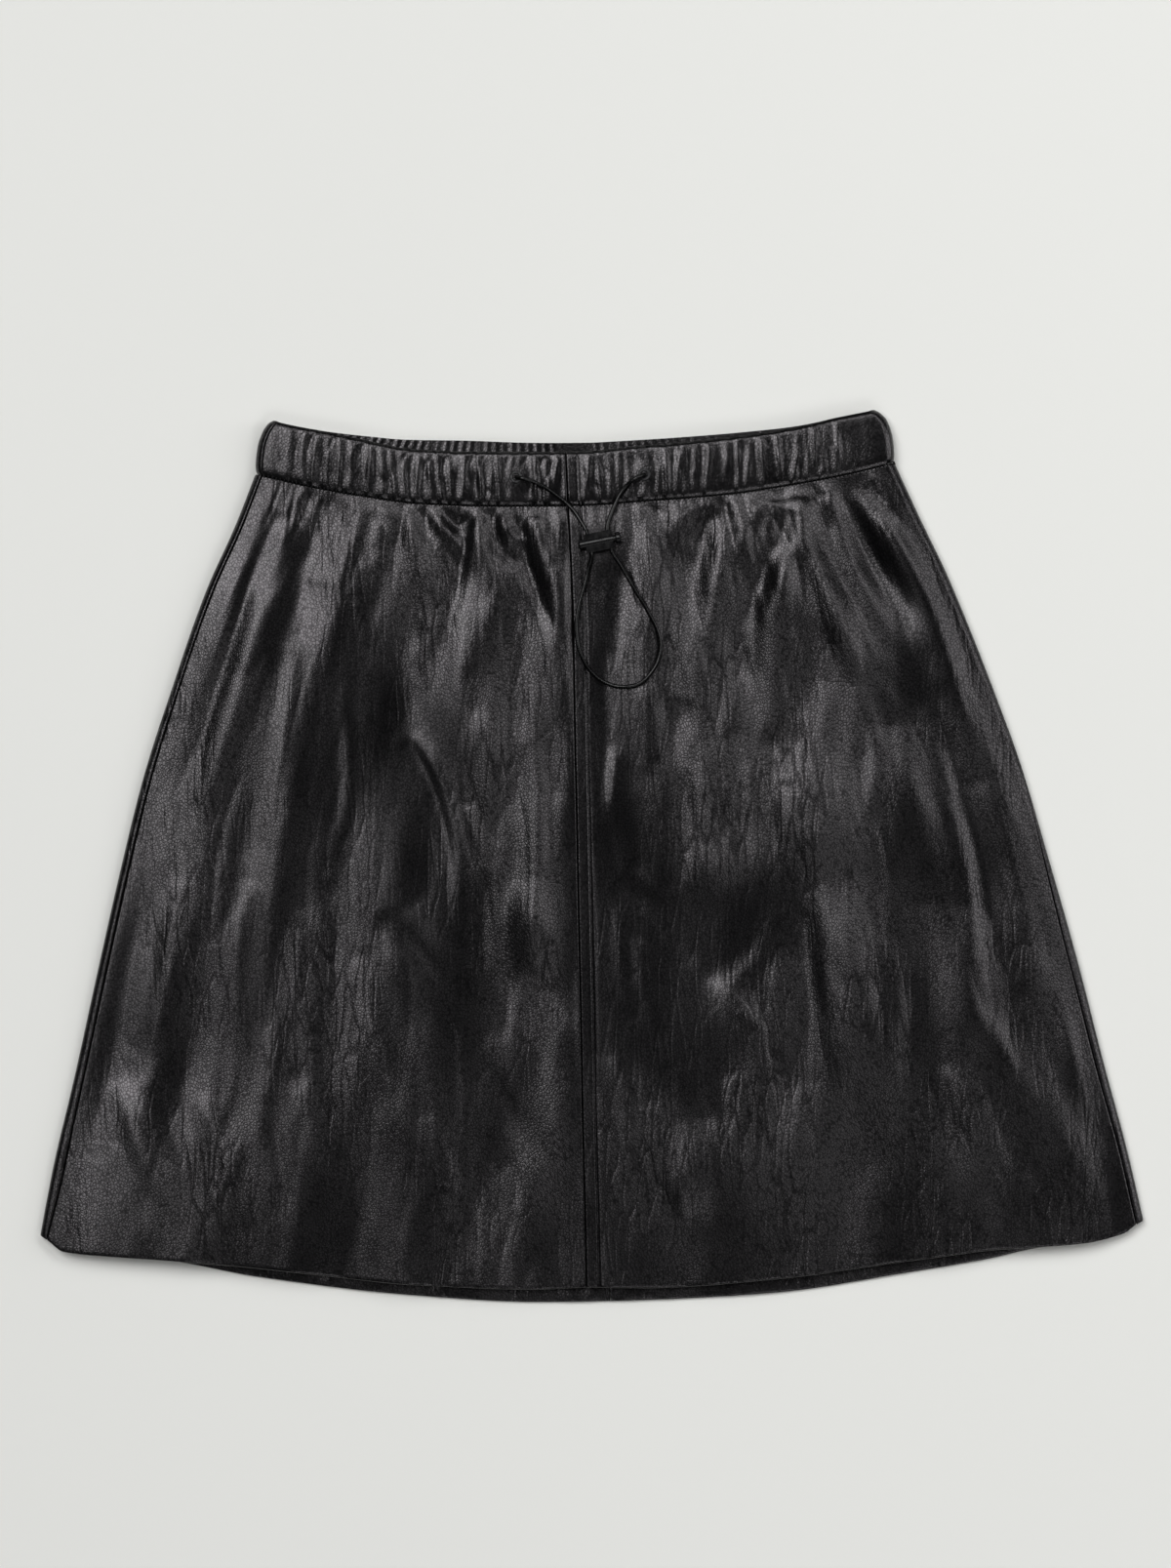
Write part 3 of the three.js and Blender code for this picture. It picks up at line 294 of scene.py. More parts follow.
# The drawcord's centre line, from the left eyelet through the lock and round its loop
CORD_ROUTE = [
    (-38.0, 190.2, 11.2), (-37.7, 190.1, 14.0), (-36.3, 189.7, 15.9), (-34.5, 189.2, 16.7),
    (-32.0, 188.5, 16.3), (-27.2, 186.8, 14.7), (-17.4, 180.6, 13.8), (-10.0, 174.2, 14.3),
    (-5.4, 167.6, 15.5), (-2.63, 162.46, 16.2), (-1.5, 156.77, 16.2), (-0.38, 151.08, 16.2),
    (-1.7, 144.3, 15.1), (-4.2, 134.0, 14.9), (-7.2, 122.0, 14.9), (-7.7, 111.0, 14.9),
    (-4.7, 99.2, 14.95), (0.7, 91.4, 14.7), (7.6, 86.7, 14.95), (15.9, 85.0, 15.85),
    (23.8, 86.7, 15.85), (29.6, 91.9, 15.3), (33.8, 100.2, 14.95), (34.0, 108.5, 15.05),
    (27.7, 123.2, 16.4), (21.8, 133.0, 16.6), (14.5, 145.6, 16.3), (9.82, 153.1, 16.2),
    (8.7, 158.79, 16.2), (7.57, 164.48, 16.2), (8.9, 169.8, 15.6), (11.4, 176.0, 14.6),
    (14.3, 181.6, 14.2), (17.2, 185.6, 14.9), (20.5, 188.4, 16.3), (22.9, 189.8, 16.7),
    (24.6, 190.6, 15.9), (25.9, 191.2, 14.0), (26.2, 191.4, 11.2),
]
CORD_DIAMETER = 2.0


def mix(a, b, share):
    """The value a share of the way from a to b."""
    return a + (b - a) * share


def ease(share):
    """A share from 0 to 1 with a soft start and end."""
    return share * share * (3 - 2 * share)


def rising(value, low, high):
    """0 below low and 1 above high, with a soft slope between."""
    return ease(np.clip((value - low) / (high - low), 0, 1))


def column(source, name, at):
    """A table's column at any places: a smooth curve through its rows that never swings past them."""
    places = source["at"]
    values = source[name]
    rise = np.diff(values) / np.diff(places)
    slope = np.zeros(len(values))
    slope[0] = rise[0]
    slope[-1] = rise[-1]
    before, after = rise[:-1], rise[1:]
    same = before * after > 0
    slope[1:-1][same] = 2 * before[same] * after[same] / (before[same] + after[same])
    i = np.clip(np.searchsorted(places, at, side="left") - 1, 0, len(places) - 2)
    span = places[i + 1] - places[i]
    t = np.clip((at - places[i]) / span, 0, 1)
    bend = t * t * (1 - t) * slope[i + 1] - t * (1 - t) ** 2 * slope[i]
    return mix(values[i], values[i + 1], ease(t)) - span * bend


def soft_noise(x, y, seed):
    """A smooth random field from -1 to 1, with one cell per unit."""
    lattice = np.random.default_rng(seed).uniform(-1, 1, (61, 61))
    i = np.floor(x).astype(int)
    j = np.floor(y).astype(int)
    u = ease(x - i)
    v = ease(y - j)
    i0, i1, j0, j1 = i % 61, (i + 1) % 61, j % 61, (j + 1) % 61
    low = mix(lattice[i0, j0], lattice[i1, j0], u)
    high = mix(lattice[i0, j1], lattice[i1, j1], u)
    return mix(low, high, v)


def wander(x, y, cell_x, cell_y, sharpness, seed):
    """Long wandering creases, 1 along their lines and 0 away from them."""
    warp = 0.6 * soft_noise(x / (3 * cell_x), y / (1.2 * cell_y), seed + 1)
    field = soft_noise(x / cell_x + warp, y / cell_y, seed)
    field += 0.35 * soft_noise(2.1 * x / cell_x, 1.7 * y / cell_y, seed + 2)
    return np.exp(-((field / sharpness) ** 2))


def calm(x, y):
    """0 where something lies on the cloth, and 1 away from it."""
    left = np.ones(np.broadcast(x, y).shape)
    for spot_x, spot_y, radius in CALM_SPOTS:
        away = np.hypot(x - spot_x, y - spot_y) / radius
        left = left * (1 - np.exp(-(away ** 4)))
    return left


def line_relief(x, y, lines):
    """The height that a table of folds adds at each place."""
    total = np.zeros(np.broadcast(x, y).shape)
    for from_x, from_y, to_x, to_y, width, height, bow in lines:
        run_x = to_x - from_x
        run_y = to_y - from_y
        away_x = x - (from_x + CREST_SHIFT[0] * width)
        away_y = y - (from_y + CREST_SHIFT[1] * width)
        length = math.hypot(run_x, run_y)
        inside = np.clip((away_x * run_x + away_y * run_y) / length ** 2, 0, 1)
        aside = (away_x * run_y - away_y * run_x) / length - bow * 4 * inside * (1 - inside)
        swell = np.sin(np.pi * inside ** 0.8) ** 1.6
        total += FOLD_HEIGHT * height * swell * np.exp(-((aside / width) ** 2))
    return total


def from_photo(pixels):
    """Photograph pixels as x and y in millimetres."""
    pixels = np.array(pixels, dtype=float)
    return (pixels - ORIGIN_PIXEL) * (MM_PER_PIXEL, -MM_PER_PIXEL)


def smooth_path(stops):
    """A smooth line through a few stops."""
    ends = np.concatenate([[2 * stops[0] - stops[1]], stops, [2 * stops[-1] - stops[-2]]])
    points = []
    for k in range(len(stops) - 1):
        a, b, c, d = ends[k:k + 4]
        for t in np.arange(PATH_STEPS) / PATH_STEPS:
            points.append(0.5 * (2 * b + (c - a) * t + (2 * a - 5 * b + 4 * c - d) * t ** 2
                                 + (3 * b - a - 3 * c + d) * t ** 3))
    return np.array(points + [stops[-1]])


def crease_relief(x, y, creases):
    """The height that a table of creases adds at each place."""
    total = np.zeros(x.shape)
    for width, height, *pixels in creases:
        width = width * CREASE_WIDTH
        height = height * CREASE_HEIGHT
        path = smooth_path(from_photo(np.reshape(pixels, (-1, 2))) + CREST_SHIFT * width)
        low = path.min(axis=0) - CREASE_REACH * width
        high = path.max(axis=0) + CREASE_REACH * width
        near = (x > low[0]) & (x < high[0]) & (y > low[1]) & (y < high[1])
        if not near.any():
            continue
        spots = np.stack([x[near], y[near]], axis=1)
        best = np.full(len(spots), 1e9)
        share = np.zeros(len(spots))
        count = len(path) - 1
        for k in range(count):
            run = path[k + 1] - path[k]
            t = np.clip(np.sum((spots - path[k]) * run, axis=1) / (run @ run), 0, 1)
            away = np.sum((spots - path[k] - t[:, None] * run) ** 2, axis=1)
            closer = away < best
            best = np.where(closer, away, best)
            share = np.where(closer, (k + t) / count, share)
        swell = np.sin(np.pi * share ** 0.7) ** 0.8
        total[near] += height * swell * np.exp(-best / width ** 2)
    return total


def crinkle(x, y):
    """How crinkled the leather is at each place, from 0, drawn smooth, to 1."""
    level = np.full(np.broadcast(x, y).shape, CRINKLE_LEVEL)
    for pixel_x, pixel_y, radius_x, radius_y, amount in PATCHES:
        centre_x, centre_y = from_photo((pixel_x, pixel_y))
        away_x = (x - centre_x) / (radius_x * MM_PER_PIXEL)
        away_y = (y - centre_y) / (radius_y * MM_PER_PIXEL)
        level += amount * np.exp(-(away_x ** 2 + away_y ** 2))
    level += 0.18 * soft_noise(x / 22, y / 60, 17)
    return np.clip(level, CRINKLE_LEAST, 1)


def place_across(source, side, along, at):
    """Where a distance along the leather from the side's outermost line lies: its x, its share of the
    width, its height and outward direction on the side roll, and how far it is beyond the roll."""
    radius = column(source, "roll", at)
    quarter = math.pi / 2 * radius
    turn = np.clip(along, -quarter, quarter) / radius
    beyond = np.maximum(np.abs(along) - quarter, 0)
    half = column(source, "half", at)
    middle = column(source, "middle", at)
    x = middle + side * (half - (radius * (1 - np.cos(turn)) + beyond))
    across = np.clip((x - middle + half) / (2 * half), 0, 1)
    return x, across, radius * (1 + np.sin(turn)), (-np.cos(turn), np.sin(turn)), beyond


def front_lift(beyond, crown, radius):
    """How far the front stands over the side roll's top, at a distance beyond the roll."""
    steep = 1 - np.exp(-beyond / STEEP_LIFT)
    slow = 1 - np.exp(-beyond / SLOW_LIFT)
    return (crown - 2 * radius) * (0.5 * steep + 0.5 * slow)


def wall(side, x, y, height, normal, relief, thickness):
    """The outer and inner points of a wall, one relief out from its line and one thickness further in."""
    return [
        np.stack(np.broadcast_arrays(x - side * normal[0] * out, y, height + normal[1] * out), axis=-1)
        for out in (relief, relief - thickness)
    ]


def rounded(distance, radius):
    """How far a folded edge's face falls back near its end."""
    inside = np.clip(distance / radius, 0, 1)
    return radius * (1 - np.sqrt(np.clip(1 - (1 - inside) ** 2, 0, 1)))


def front_span(source, side, at):
    """Where a front piece starts, is gathered and ends, as distances along the leather."""
    radius = column(source, "roll", at)
    quarter = math.pi / 2 * radius
    edge = column(source, "middle", at) + side * column(source, "half", at)
    start = column(source, "left_seam" if side < 0 else "right_seam", at) + SEAM_GAP / 2
    end = np.abs(column(source, "front_seam", at) - edge) - SEAM_GAP / 2 - radius + quarter
    rolled = np.maximum(quarter, start) + 2
    gathered = end - (STRIP_WIDTH + 1 if side > 0 else 1)
    return radius, start, rolled, gathered, end


def gather_number(share, gathers):
    """Which gather a share of the gathered width falls in; they are unevenly wide."""
    even = share.copy()
    for _ in range(14):
        even = share - GATHER_UNEVENNESS / (6 * math.pi) * np.sin(6 * math.pi * even)
    return even * gathers


def pleat(gather):
    """One gather's profile: a round ridge at each whole number, with a narrow valley between."""
    smooth = np.cos(2 * math.pi * gather)
    arch = 2 * np.abs(np.cos(math.pi * gather)) - 1
    return 0.5 * smooth + 0.5 * arch


def gathers_along(along, rolled, gathered, count):
    """Which gather each place falls in, and how far the gathers reach there, from 0 to 1."""
    gather = gather_number(np.clip((along - rolled) / (gathered - rolled), 0, 1), count)
    return gather, rising(along - rolled, -1, 2) * rising(gathered + 1 - along, 0, 1.5)


def gather_depth(gather, side):
    return 0.72 + 0.28 * np.sin(2.3 * gather + 1.7 * side)


def strip_relief(from_seam):
    """The strip's raised face, with the groove that its row of stitches pulls in along its edge."""
    raised = STRIP_RAISE * rising(STRIP_WIDTH - from_seam, 0, STRIP_SLOPE)
    return raised - GROOVE_DEPTH * np.exp(-(((from_seam - STRIP_WIDTH) / GROOVE_WIDTH) ** 2))


def hemmed(relief, at, above_hem):
    """A panel's relief and thickness, with its thicker hem rounded at the edge."""
    edge = rounded(above_hem, HEM_ROUND)
    thickness = np.where(at > HEM_TOP, HEM_WALL, LEATHER_WALL)
    return relief - edge, np.maximum(thickness - 2 * edge, THINNEST_PANEL)


def front_panel(side, at, along):
    """The points of a front panel's two faces."""
    radius, start, rolled, gathered, end = front_span(SKIRT, side, at)
    x, across, height, normal, beyond = place_across(SKIRT, side, along, at)
    top = column(WAIST_SEAM, "front", across)
    hem = column(HEM, "front", across)
    y = mix(top, hem, at)
    below = top - y
    gather, in_gathers = gathers_along(along, rolled, gathered, PANEL_GATHERS)
    reach = PANEL_GATHER_LENGTH * (0.8 + 0.4 * np.sin(1.9 * gather - side))
    fade = np.exp(-((below / reach) ** 2))
    from_seam = end - along
    wave = PANEL_GATHER_DEPTH * PANEL_GATHER_SHARE * gather_depth(gather, side)
    wave = wave * fade * pleat(gather) * in_gathers

    # Finer gathers and puckers between the drawn-up ones, which die out sooner
    flare = (across - 0.5) * FLARE_WIDTH
    puckers = 0.22 * soft_noise(flare / 4.4, below / 26, 31 + side) * np.exp(-((below / 13) ** 2))
    puckers -= 0.4 * wander(flare, below, 12, 34, 0.2, 41 + side) * np.exp(-((below / 50) ** 2))

    # Long soft undulations and creases all over, which follow the flare, most where it is crinkled
    rough = crinkle(x, y)
    creases = 1.5 * (0.15 + rough) * soft_noise(flare / 13, y / 52, 71 + side)
    creases += 0.36 * rough * soft_noise(flare / 6.6, y / 19, 75 + side)
    creases -= 0.4 * rough * wander(flare, y, 13, 60, 0.2, 61 + side)
    creases += 1.4 * soft_noise(flare / 25, y / 84, 77 + side)
    creases += 1.8 * soft_noise(flare / 46, y / 105, 79 + side)

    ramp = rising(beyond, 0, FOLDS_START)
    strip = STRIP_WIDTH - 1 if side > 0 else 0
    near_seam = 0.35 * rising(from_seam, strip, strip + 4) + 0.65 * rising(from_seam, strip, strip + 16)
    near_band = 0.2 + 0.8 * rising(below, 0, 8)
    relief = line_relief(x, y, FOLDS) + crease_relief(x, y, CREASES) + wave + puckers + creases
    relief = relief * ramp * near_seam * near_band * calm(x, y)
    relief -= SEAM_TUCK * np.exp(-((below / SEAM_TUCK_LENGTH) ** 2)) * ramp
    if side > 0:
        relief += strip_relief(from_seam)
    relief -= rounded(from_seam, SEAM_ROUND) + rounded(along - start, SIDE_ROUND)
    relief, thickness = hemmed(relief - rounded(below, WAIST_ROUND), at, y - hem)
    line = height + front_lift(beyond, column(SKIRT, "crown", at), radius)
    return wall(side, x, y, line, normal, relief, thickness)


def front_band(side, at, along):
    """The points of the two faces of half the front of the waistband."""
    radius, start, rolled, gathered, end = front_span(BAND, side, at)
    x, across, height, normal, beyond = place_across(BAND, side, along, at)
    low = column(WAIST_SEAM, "front", across)
    y = mix(low, column(BAND_TOP, "front", across), at)
    gather, in_gathers = gathers_along(along, rolled, gathered, BAND_GATHERS)
    from_seam = end - along
    swell = column(BAND, "swell", at)
    ramp = rising(beyond, 0, FOLDS_START)
    wave = 0.16 * gather_depth(gather, side) * np.cos(2 * math.pi * gather) * in_gathers
    ridges = np.zeros(x.shape)
    chance = np.random.default_rng(83 + side)
    for pixel in BAND_RIDGES[side]:
        middle = from_photo((pixel, 0))[0]
        lean, width, rise = chance.uniform((-3.2, 1.3, 0.4), (3.2, 2.3, 1.0))
        peak = chance.uniform(0.25, 0.75)
        aside = (x - middle - lean * (at - 0.5)) / width
        reach = 0.35 + 0.65 * np.exp(-(((at - peak) / 0.38) ** 2))
        ridges += rise * reach * np.exp(-(aside ** 2))
    flat = rising(from_seam, STRIP_WIDTH, STRIP_WIDTH + 2) if side > 0 else rising(from_seam, 0.5, 3)
    fine = 0.12 * soft_noise(along / 4.2, at * 1.7, 91 + side)
    fine -= 0.3 * wander(along, at * 26, 7, 22, 0.25, 101 + side)
    relief = (wave + ridges - 0.3 + fine) * ramp * flat * calm(x, y) + swell
    if side > 0:
        relief += strip_relief(from_seam)
    relief -= rounded(from_seam, SEAM_ROUND) + rounded(along - start, SIDE_ROUND)
    thickness = np.maximum(BAND_WALL + swell, THINNEST_BAND)
    line = height + front_lift(beyond, column(BAND, "crown", at), radius)
    return wall(side, x, y, line, normal, relief, thickness)


def back_span(source, side, at, middle_x):
    """A back piece's start at its side seam and its end, along the leather and round the side roll."""
    radius = column(source, "roll", at)
    quarter = math.pi / 2 * radius
    start = column(source, "left_seam" if side < 0 else "right_seam", at) - SEAM_GAP / 2
    edge = column(source, "middle", at) + side * column(source, "half", at)
    end = -(np.abs(middle_x - edge) - SEAM_GAP / 2 - radius + quarter)
    return radius, quarter, start, end


def back_band_span(side, at):
    """The same for half the back of the waistband, which ends at the flat stretch in its middle."""
    radius, quarter, start, _ = back_span(BAND, side, at, column(BAND, "middle", at))
    end = -(column(BAND, "half", at) - BACK_FLAT_STRETCH / 2 - radius + quarter)
    return quarter, start, end


def back_panel(side, at, along):
    """The points of a back panel's two faces: it lies flat, and its creases are troughs."""
    _, quarter, start, end = back_span(SKIRT, side, at, column(SKIRT, "back_seam", at))
    x, across, height, normal, _ = place_across(SKIRT, side, along, at)
    hem = column(HEM, "back", across)
    top = column(WAIST_SEAM, "back", across)
    y = mix(top, hem, at)
    below = top - y
    under = rising(-along, quarter + 2, quarter + FOLDS_START)
    flare = (across - 0.5) * FLARE_WIDTH
    gathers = 1.1 * np.exp(-((below / 38) ** 2)) * (0.5 - 0.5 * pleat(flare / 12.5 + 0.4 * side))
    creases = 0.55 * wander(flare, y, 19, 66, 0.16, 111 + side)
    creases += 0.5 * rising(soft_noise(flare / 24, y / 80, 121 + side), 0.15, 0.9)
    from_seam = np.abs(along - end)
    relief = -(gathers + creases) * under * rising(from_seam, 0, 6)
    relief -= rounded(from_seam, BACK_SEAM_ROUND) + rounded(np.abs(start - along), SIDE_ROUND)
    relief, thickness = hemmed(relief - rounded(below, WAIST_ROUND), at, y - hem)
    return wall(side, x, y, height, normal, relief, thickness)


def back_band(side, at, along):
    """The points of the two faces of half the back of the waistband, from its seam to its middle."""
    quarter, start, end = back_band_span(side, at)
    x, across, height, normal, _ = place_across(BAND, side, along, at)
    low = column(WAIST_SEAM, "back", across)
    y = mix(low, column(BAND_TOP, "back", across), at)
    share = np.clip((along + quarter) / (end + quarter), 0, 1)
    gather = share * BACK_GATHERS
    inside = rising(share, 0, 0.02) * rising(1 - share, 0, 0.02)
    wave = BACK_GATHER_DEPTH * gather_depth(gather, side) * inside * (pleat(gather) - 1) / 2
    wave = wave * (0.75 + 0.5 * soft_noise(gather * 0.7, at * 2, 131 + side))
    swell = column(BAND, "swell", at)
    relief = wave + swell - rounded(np.abs(start - along), SIDE_ROUND)
    thickness = np.maximum(BAND_WALL + swell, THINNEST_BAND) - 0.48 * wave * np.sin(math.pi * at)
    return wall(side, x, y, height, normal, relief, thickness)


def spaced(length, fine, coarse):
    """Shares of a length, one per row of a grid: close at both ends, then from fine to coarse steps."""
    places = list(EDGE_STEPS)
    step = fine
    while places[-1] + step < length - EDGE_STEPS[-1]:
        places.append(places[-1] + step)
        step = min(step * 1.03, coarse)
    places += [length - distance for distance in reversed(EDGE_STEPS)]
    return np.array(places)[:, None] / length


def across_columns(start, end, count):
    """Columns from start to end, one row of them per row of the grid, close at both ends."""
    direction = np.sign(end - start)
    first = [start + direction * distance for distance in EDGE_STEPS]
    middle = [mix(first[-1], end - direction * EDGE_STEPS[-1], k / count) for k in range(1, count)]
    last = [end - direction * distance for distance in reversed(EDGE_STEPS)]
    return np.concatenate(first + middle + last, axis=1)


def closed_shell(name, outer, inner):
    """A mesh of a wall's two faces, joined all round."""
    rows, cols = outer.shape[:2]
    points = np.concatenate([outer.reshape(-1, 3), inner.reshape(-1, 3)]) / 1000
    top = np.arange(rows * cols).reshape(rows, cols)
    low = top + rows * cols
    sheets = (
        (top[:-1, :-1], top[1:, :-1], top[1:, 1:], top[:-1, 1:]),
        (low[:-1, :-1], low[:-1, 1:], low[1:, 1:], low[1:, :-1]),
        (top[:-1, 0], low[:-1, 0], low[1:, 0], top[1:, 0]),
        (top[:-1, -1], top[1:, -1], low[1:, -1], low[:-1, -1]),
        (top[0, :-1], top[0, 1:], low[0, 1:], low[0, :-1]),
        (top[-1, :-1], low[-1, :-1], low[-1, 1:], top[-1, 1:]),
    )
    faces = np.concatenate([np.stack([corner.ravel() for corner in sheet], axis=1) for sheet in sheets])
    corners = points[faces]
    volume = np.sum(corners[:, 0] * np.cross(corners[:, 1], corners[:, 2]))
    volume += np.sum(corners[:, 0] * np.cross(corners[:, 2], corners[:, 3]))
    if volume < 0:
        faces = faces[:, ::-1]
    piece = make_mesh(name, points, faces.tolist())
    rough = crinkle(points[:, 0] * 1000, points[:, 1] * 1000)
    piece.data.attributes.new("crinkle", "FLOAT", "POINT").data.foreach_set("value", rough)
    return piece


def put_in_scene(name, data):
    thing = bpy.data.objects.new(name, data)
    bpy.context.scene.collection.objects.link(thing)
    return thing


def make_mesh(name, points, faces):
    """A smooth mesh from an array of points and a list of faces."""
    mesh = bpy.data.meshes.new(name)
    mesh.from_pydata(points.tolist(), [], faces)
    mesh.polygons.foreach_set("use_smooth", np.ones(len(faces), dtype=bool))
    mesh.update()
    return put_in_scene(name, mesh)


class Shader:
    """A material's node tree, with short calls that add a node and return its output."""

    def __init__(self, name):
        self.material = bpy.data.materials.new(name)
        self.material.use_nodes = True
        self.tree = self.material.node_tree
        self.tree.nodes.clear()
        self.surface = self.add("ShaderNodeBsdfPrincipled")
        self.add("ShaderNodeOutputMaterial", {"Surface": self.surface.outputs[0]})
        self.place = self.add("ShaderNodeTexCoord").outputs["Object"]

    def put(self, node, sockets):
        """Sets each of a node's sockets to its number, or joins an output to it."""
        for key, value in sockets.items():
            if isinstance(value, bpy.types.NodeSocket):
                self.tree.links.new(value, node.inputs[key])
            else:
                node.inputs[key].default_value = value

    def add(self, kind, sockets=None, **settings):
        node = self.tree.nodes.new(kind)
        for key, value in settings.items():
            setattr(node, key, value)
        self.put(node, sockets or {})
        return node

    def scaled(self, x, y, z):
        """The object's own coordinates, scaled."""
        return self.add("ShaderNodeMapping", {"Vector": self.place, "Scale": (x, y, z)}).outputs["Vector"]

    def cells(self, vector, scale, feature):
        """How far each point lies from a cell's middle or from the edges of the net of cells."""
        sockets = {"Vector": vector, "Scale": scale}
        return self.add("ShaderNodeTexVoronoi", sockets, feature=feature).outputs["Distance"]

    def bent(self, vector, scale, reach):
        """A vector pushed about by noise, by up to half the reach in metres."""
        push = self.add("ShaderNodeTexNoise", {"Vector": vector, "Scale": scale}).outputs["Color"]
        shrunk = self.add("ShaderNodeVectorMath", {0: push, "Scale": reach}, operation="SCALE")
        moved = {0: vector, 1: shrunk.outputs["Vector"]}
        return self.add("ShaderNodeVectorMath", moved, operation="ADD").outputs["Vector"]

    def noise(self, vector, scale, detail=2.0, roughness=0.5):
        sockets = {"Vector": vector, "Scale": scale, "Detail": detail, "Roughness": roughness}
        return self.add("ShaderNodeTexNoise", sockets).outputs["Fac"]

    def ranged(self, value, from_low, from_high, to_low, to_high):
        """A value carried from one range to another, with a soft start and end."""
        sockets = {"Value": value, "From Min": from_low, "From Max": from_high,
                   "To Min": to_low, "To Max": to_high}
        return self.add("ShaderNodeMapRange", sockets, interpolation_type="SMOOTHSTEP").outputs["Result"]

    def math(self, operation, first, second):
        return self.add("ShaderNodeMath", {0: first, 1: second}, operation=operation).outputs[0]

    def bump(self, height, distance, strength, before=None):
        """A normal bent by a height, on top of the normal before it."""
        sockets = {"Height": height, "Distance": distance, "Strength": strength}
        if before is not None:
            sockets["Normal"] = before
        return self.add("ShaderNodeBump", sockets).outputs["Normal"]

    def colours(self, value, dark, light):
        sockets = {"Factor": value, "A": (*dark, 1), "B": (*light, 1)}
        return self.add("ShaderNodeMix", sockets, data_type="RGBA").outputs["Result"]

    def finished(self, colour, roughness, specular=0.5, normal=None):
        """The material, with its surface's main sockets set or joined."""
        main = {"Base Color": colour, "Roughness": roughness, "Specular IOR Level": specular}
        if normal is not None:
            main["Normal"] = normal
        self.put(self.surface, main)
        return self.material


def leather_material(name, roughness, wrinkle_strength):
    """Black faux leather: pebbled grain, fine long wrinkles and a soft uneven gloss, with painted shade in
    the grain's grooves and along the cracks.
    """
    shader = Shader(name)
    pebbles = shader.cells(shader.scaled(1.0, 0.78, 1.0), 760, "DISTANCE_TO_EDGE")
    pebbles = shader.ranged(pebbles, 0.0, 0.26, 0.0, 1.0)
    crinkled = shader.add("ShaderNodeAttribute", attribute_name="crinkle").outputs["Fac"]

    # A net of long fine cracks with rounded ground between them, where the leather is crinkled
    ditch = shader.cells(shader.bent(shader.scaled(1.0, 0.2, 1.0), 110, 0.008), 180, "DISTANCE_TO_EDGE")
    where = shader.noise(shader.scaled(1.0, 0.5, 1.0), 32, 2.0)
    masked = shader.math("MULTIPLY", shader.ranged(where, 0.38, 0.64, 0.1, 1.0),
                         shader.ranged(crinkled, 0.1, 0.9, 0.25, 1.0))
    cracks = shader.math("MULTIPLY", shader.ranged(ditch, 0.0, 0.2, 1.0, 0.0), masked)
    swells = shader.noise(shader.scaled(1.0, 0.4, 1.0), 110, 2.0, 0.5)
    grain = shader.math("MULTIPLY", pebbles, shader.ranged(crinkled, 0.0, 1.0, 0.15, 1.0))
    normal = shader.bump(swells, 0.0006, 0.16 * wrinkle_strength)
    normal = shader.bump(cracks, -0.0003, wrinkle_strength, normal)
    normal = shader.bump(grain, 0.00007, 0.8, normal)
    patches = shader.noise(shader.scaled(1.0, 0.6, 1.0), 26, 3.0, 0.6)
    colour = shader.colours(patches, (0.0008, 0.0008, 0.0009), (0.002, 0.002, 0.0022))
    gloss = shader.math("ADD", shader.ranged(patches, 0.3, 0.7, -0.03, 0.03),
                        shader.ranged(crinkled, 0.0, 1.0, roughness - 0.06, roughness + 0.07))
    gleam_and_painted_groove_shade = shader.ranged(crinkled, 0.0, 0.8, 0.5, 0.62)
    # Painted shade: the specular level is lowered in the grooves between the pebbles and along the cracks, so
    # they show dark
    gleam_and_painted_groove_shade = shader.math("MULTIPLY", gleam_and_painted_groove_shade, shader.ranged(pebbles, 0.0, 0.8, 0.4, 1.0))
    gleam_and_painted_groove_shade = shader.math("MULTIPLY", gleam_and_painted_groove_shade, shader.ranged(cracks, 0.1, 0.9, 1.0, 0.45))
    shader.put(shader.surface, {"Specular Tint": (1.0, 0.955, 0.99, 1.0)})
    return shader.finished(colour, gloss, gleam_and_painted_groove_shade, normal)


def thread_material():
    """Twisted black thread."""
    shader = Shader("sewing_thread")
    twist = shader.noise(shader.place, 2600)
    colour = shader.colours(twist, (0.001, 0.001, 0.0012), (0.006, 0.006, 0.0065))
    return shader.finished(colour, 0.55, 0.15, shader.bump(twist, 0.0001, 0.5))


def cord_material():
    """A round braided elastic cord with a slight sheen."""
    shader = Shader("braided_elastic")
    weave = shader.ranged(shader.cells(shader.place, 1700, "F1"), 0.1, 0.7, 1.0, 0.0)
    colour = shader.colours(weave, (0.0006, 0.0006, 0.0007), (0.002, 0.002, 0.0022))
    return shader.finished(colour, 0.2, 0.24, shader.bump(weave, 0.00008, 0.3))


def plastic_material():
    """Moulded black plastic with faint flow marks."""
    shader = Shader("moulded_plastic")
    flow = shader.noise(shader.place, 420, 3.0)
    colour = shader.colours(flow, (0.0015, 0.0015, 0.0017), (0.004, 0.004, 0.0043))
    gloss = shader.ranged(flow, 0.3, 0.7, 0.18, 0.28)
    return shader.finished(colour, gloss, 0.22, shader.bump(flow, 0.0001, 0.12))


def enamel_material():
    """Black enamel on metal, worn to a duller gloss."""
    shader = Shader("black_enamel")
    wear = shader.noise(shader.place, 900, 3.0)
    shader.put(shader.surface, {"Metallic": 0.7})
    colour = shader.colours(wear, (0.02, 0.02, 0.021), (0.06, 0.06, 0.062))
    return shader.finished(colour, shader.ranged(wear, 0.3, 0.7, 0.22, 0.4))


LEATHER = leather_material("pebbled_leather", 0.30, 0.75)
BAND_LEATHER = leather_material("waistband_leather", 0.26, 0.22)
THREAD = thread_material()
CORD = cord_material()
PLASTIC = plastic_material()
ENAMEL = enamel_material()


def dress(piece, material, node=None):
    """Gives a piece its material and slot, lets it ride on the garment and stand for its node."""
    piece.data.materials.append(material)
    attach(piece, "garment")
    if node:
        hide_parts(node)
    return piece


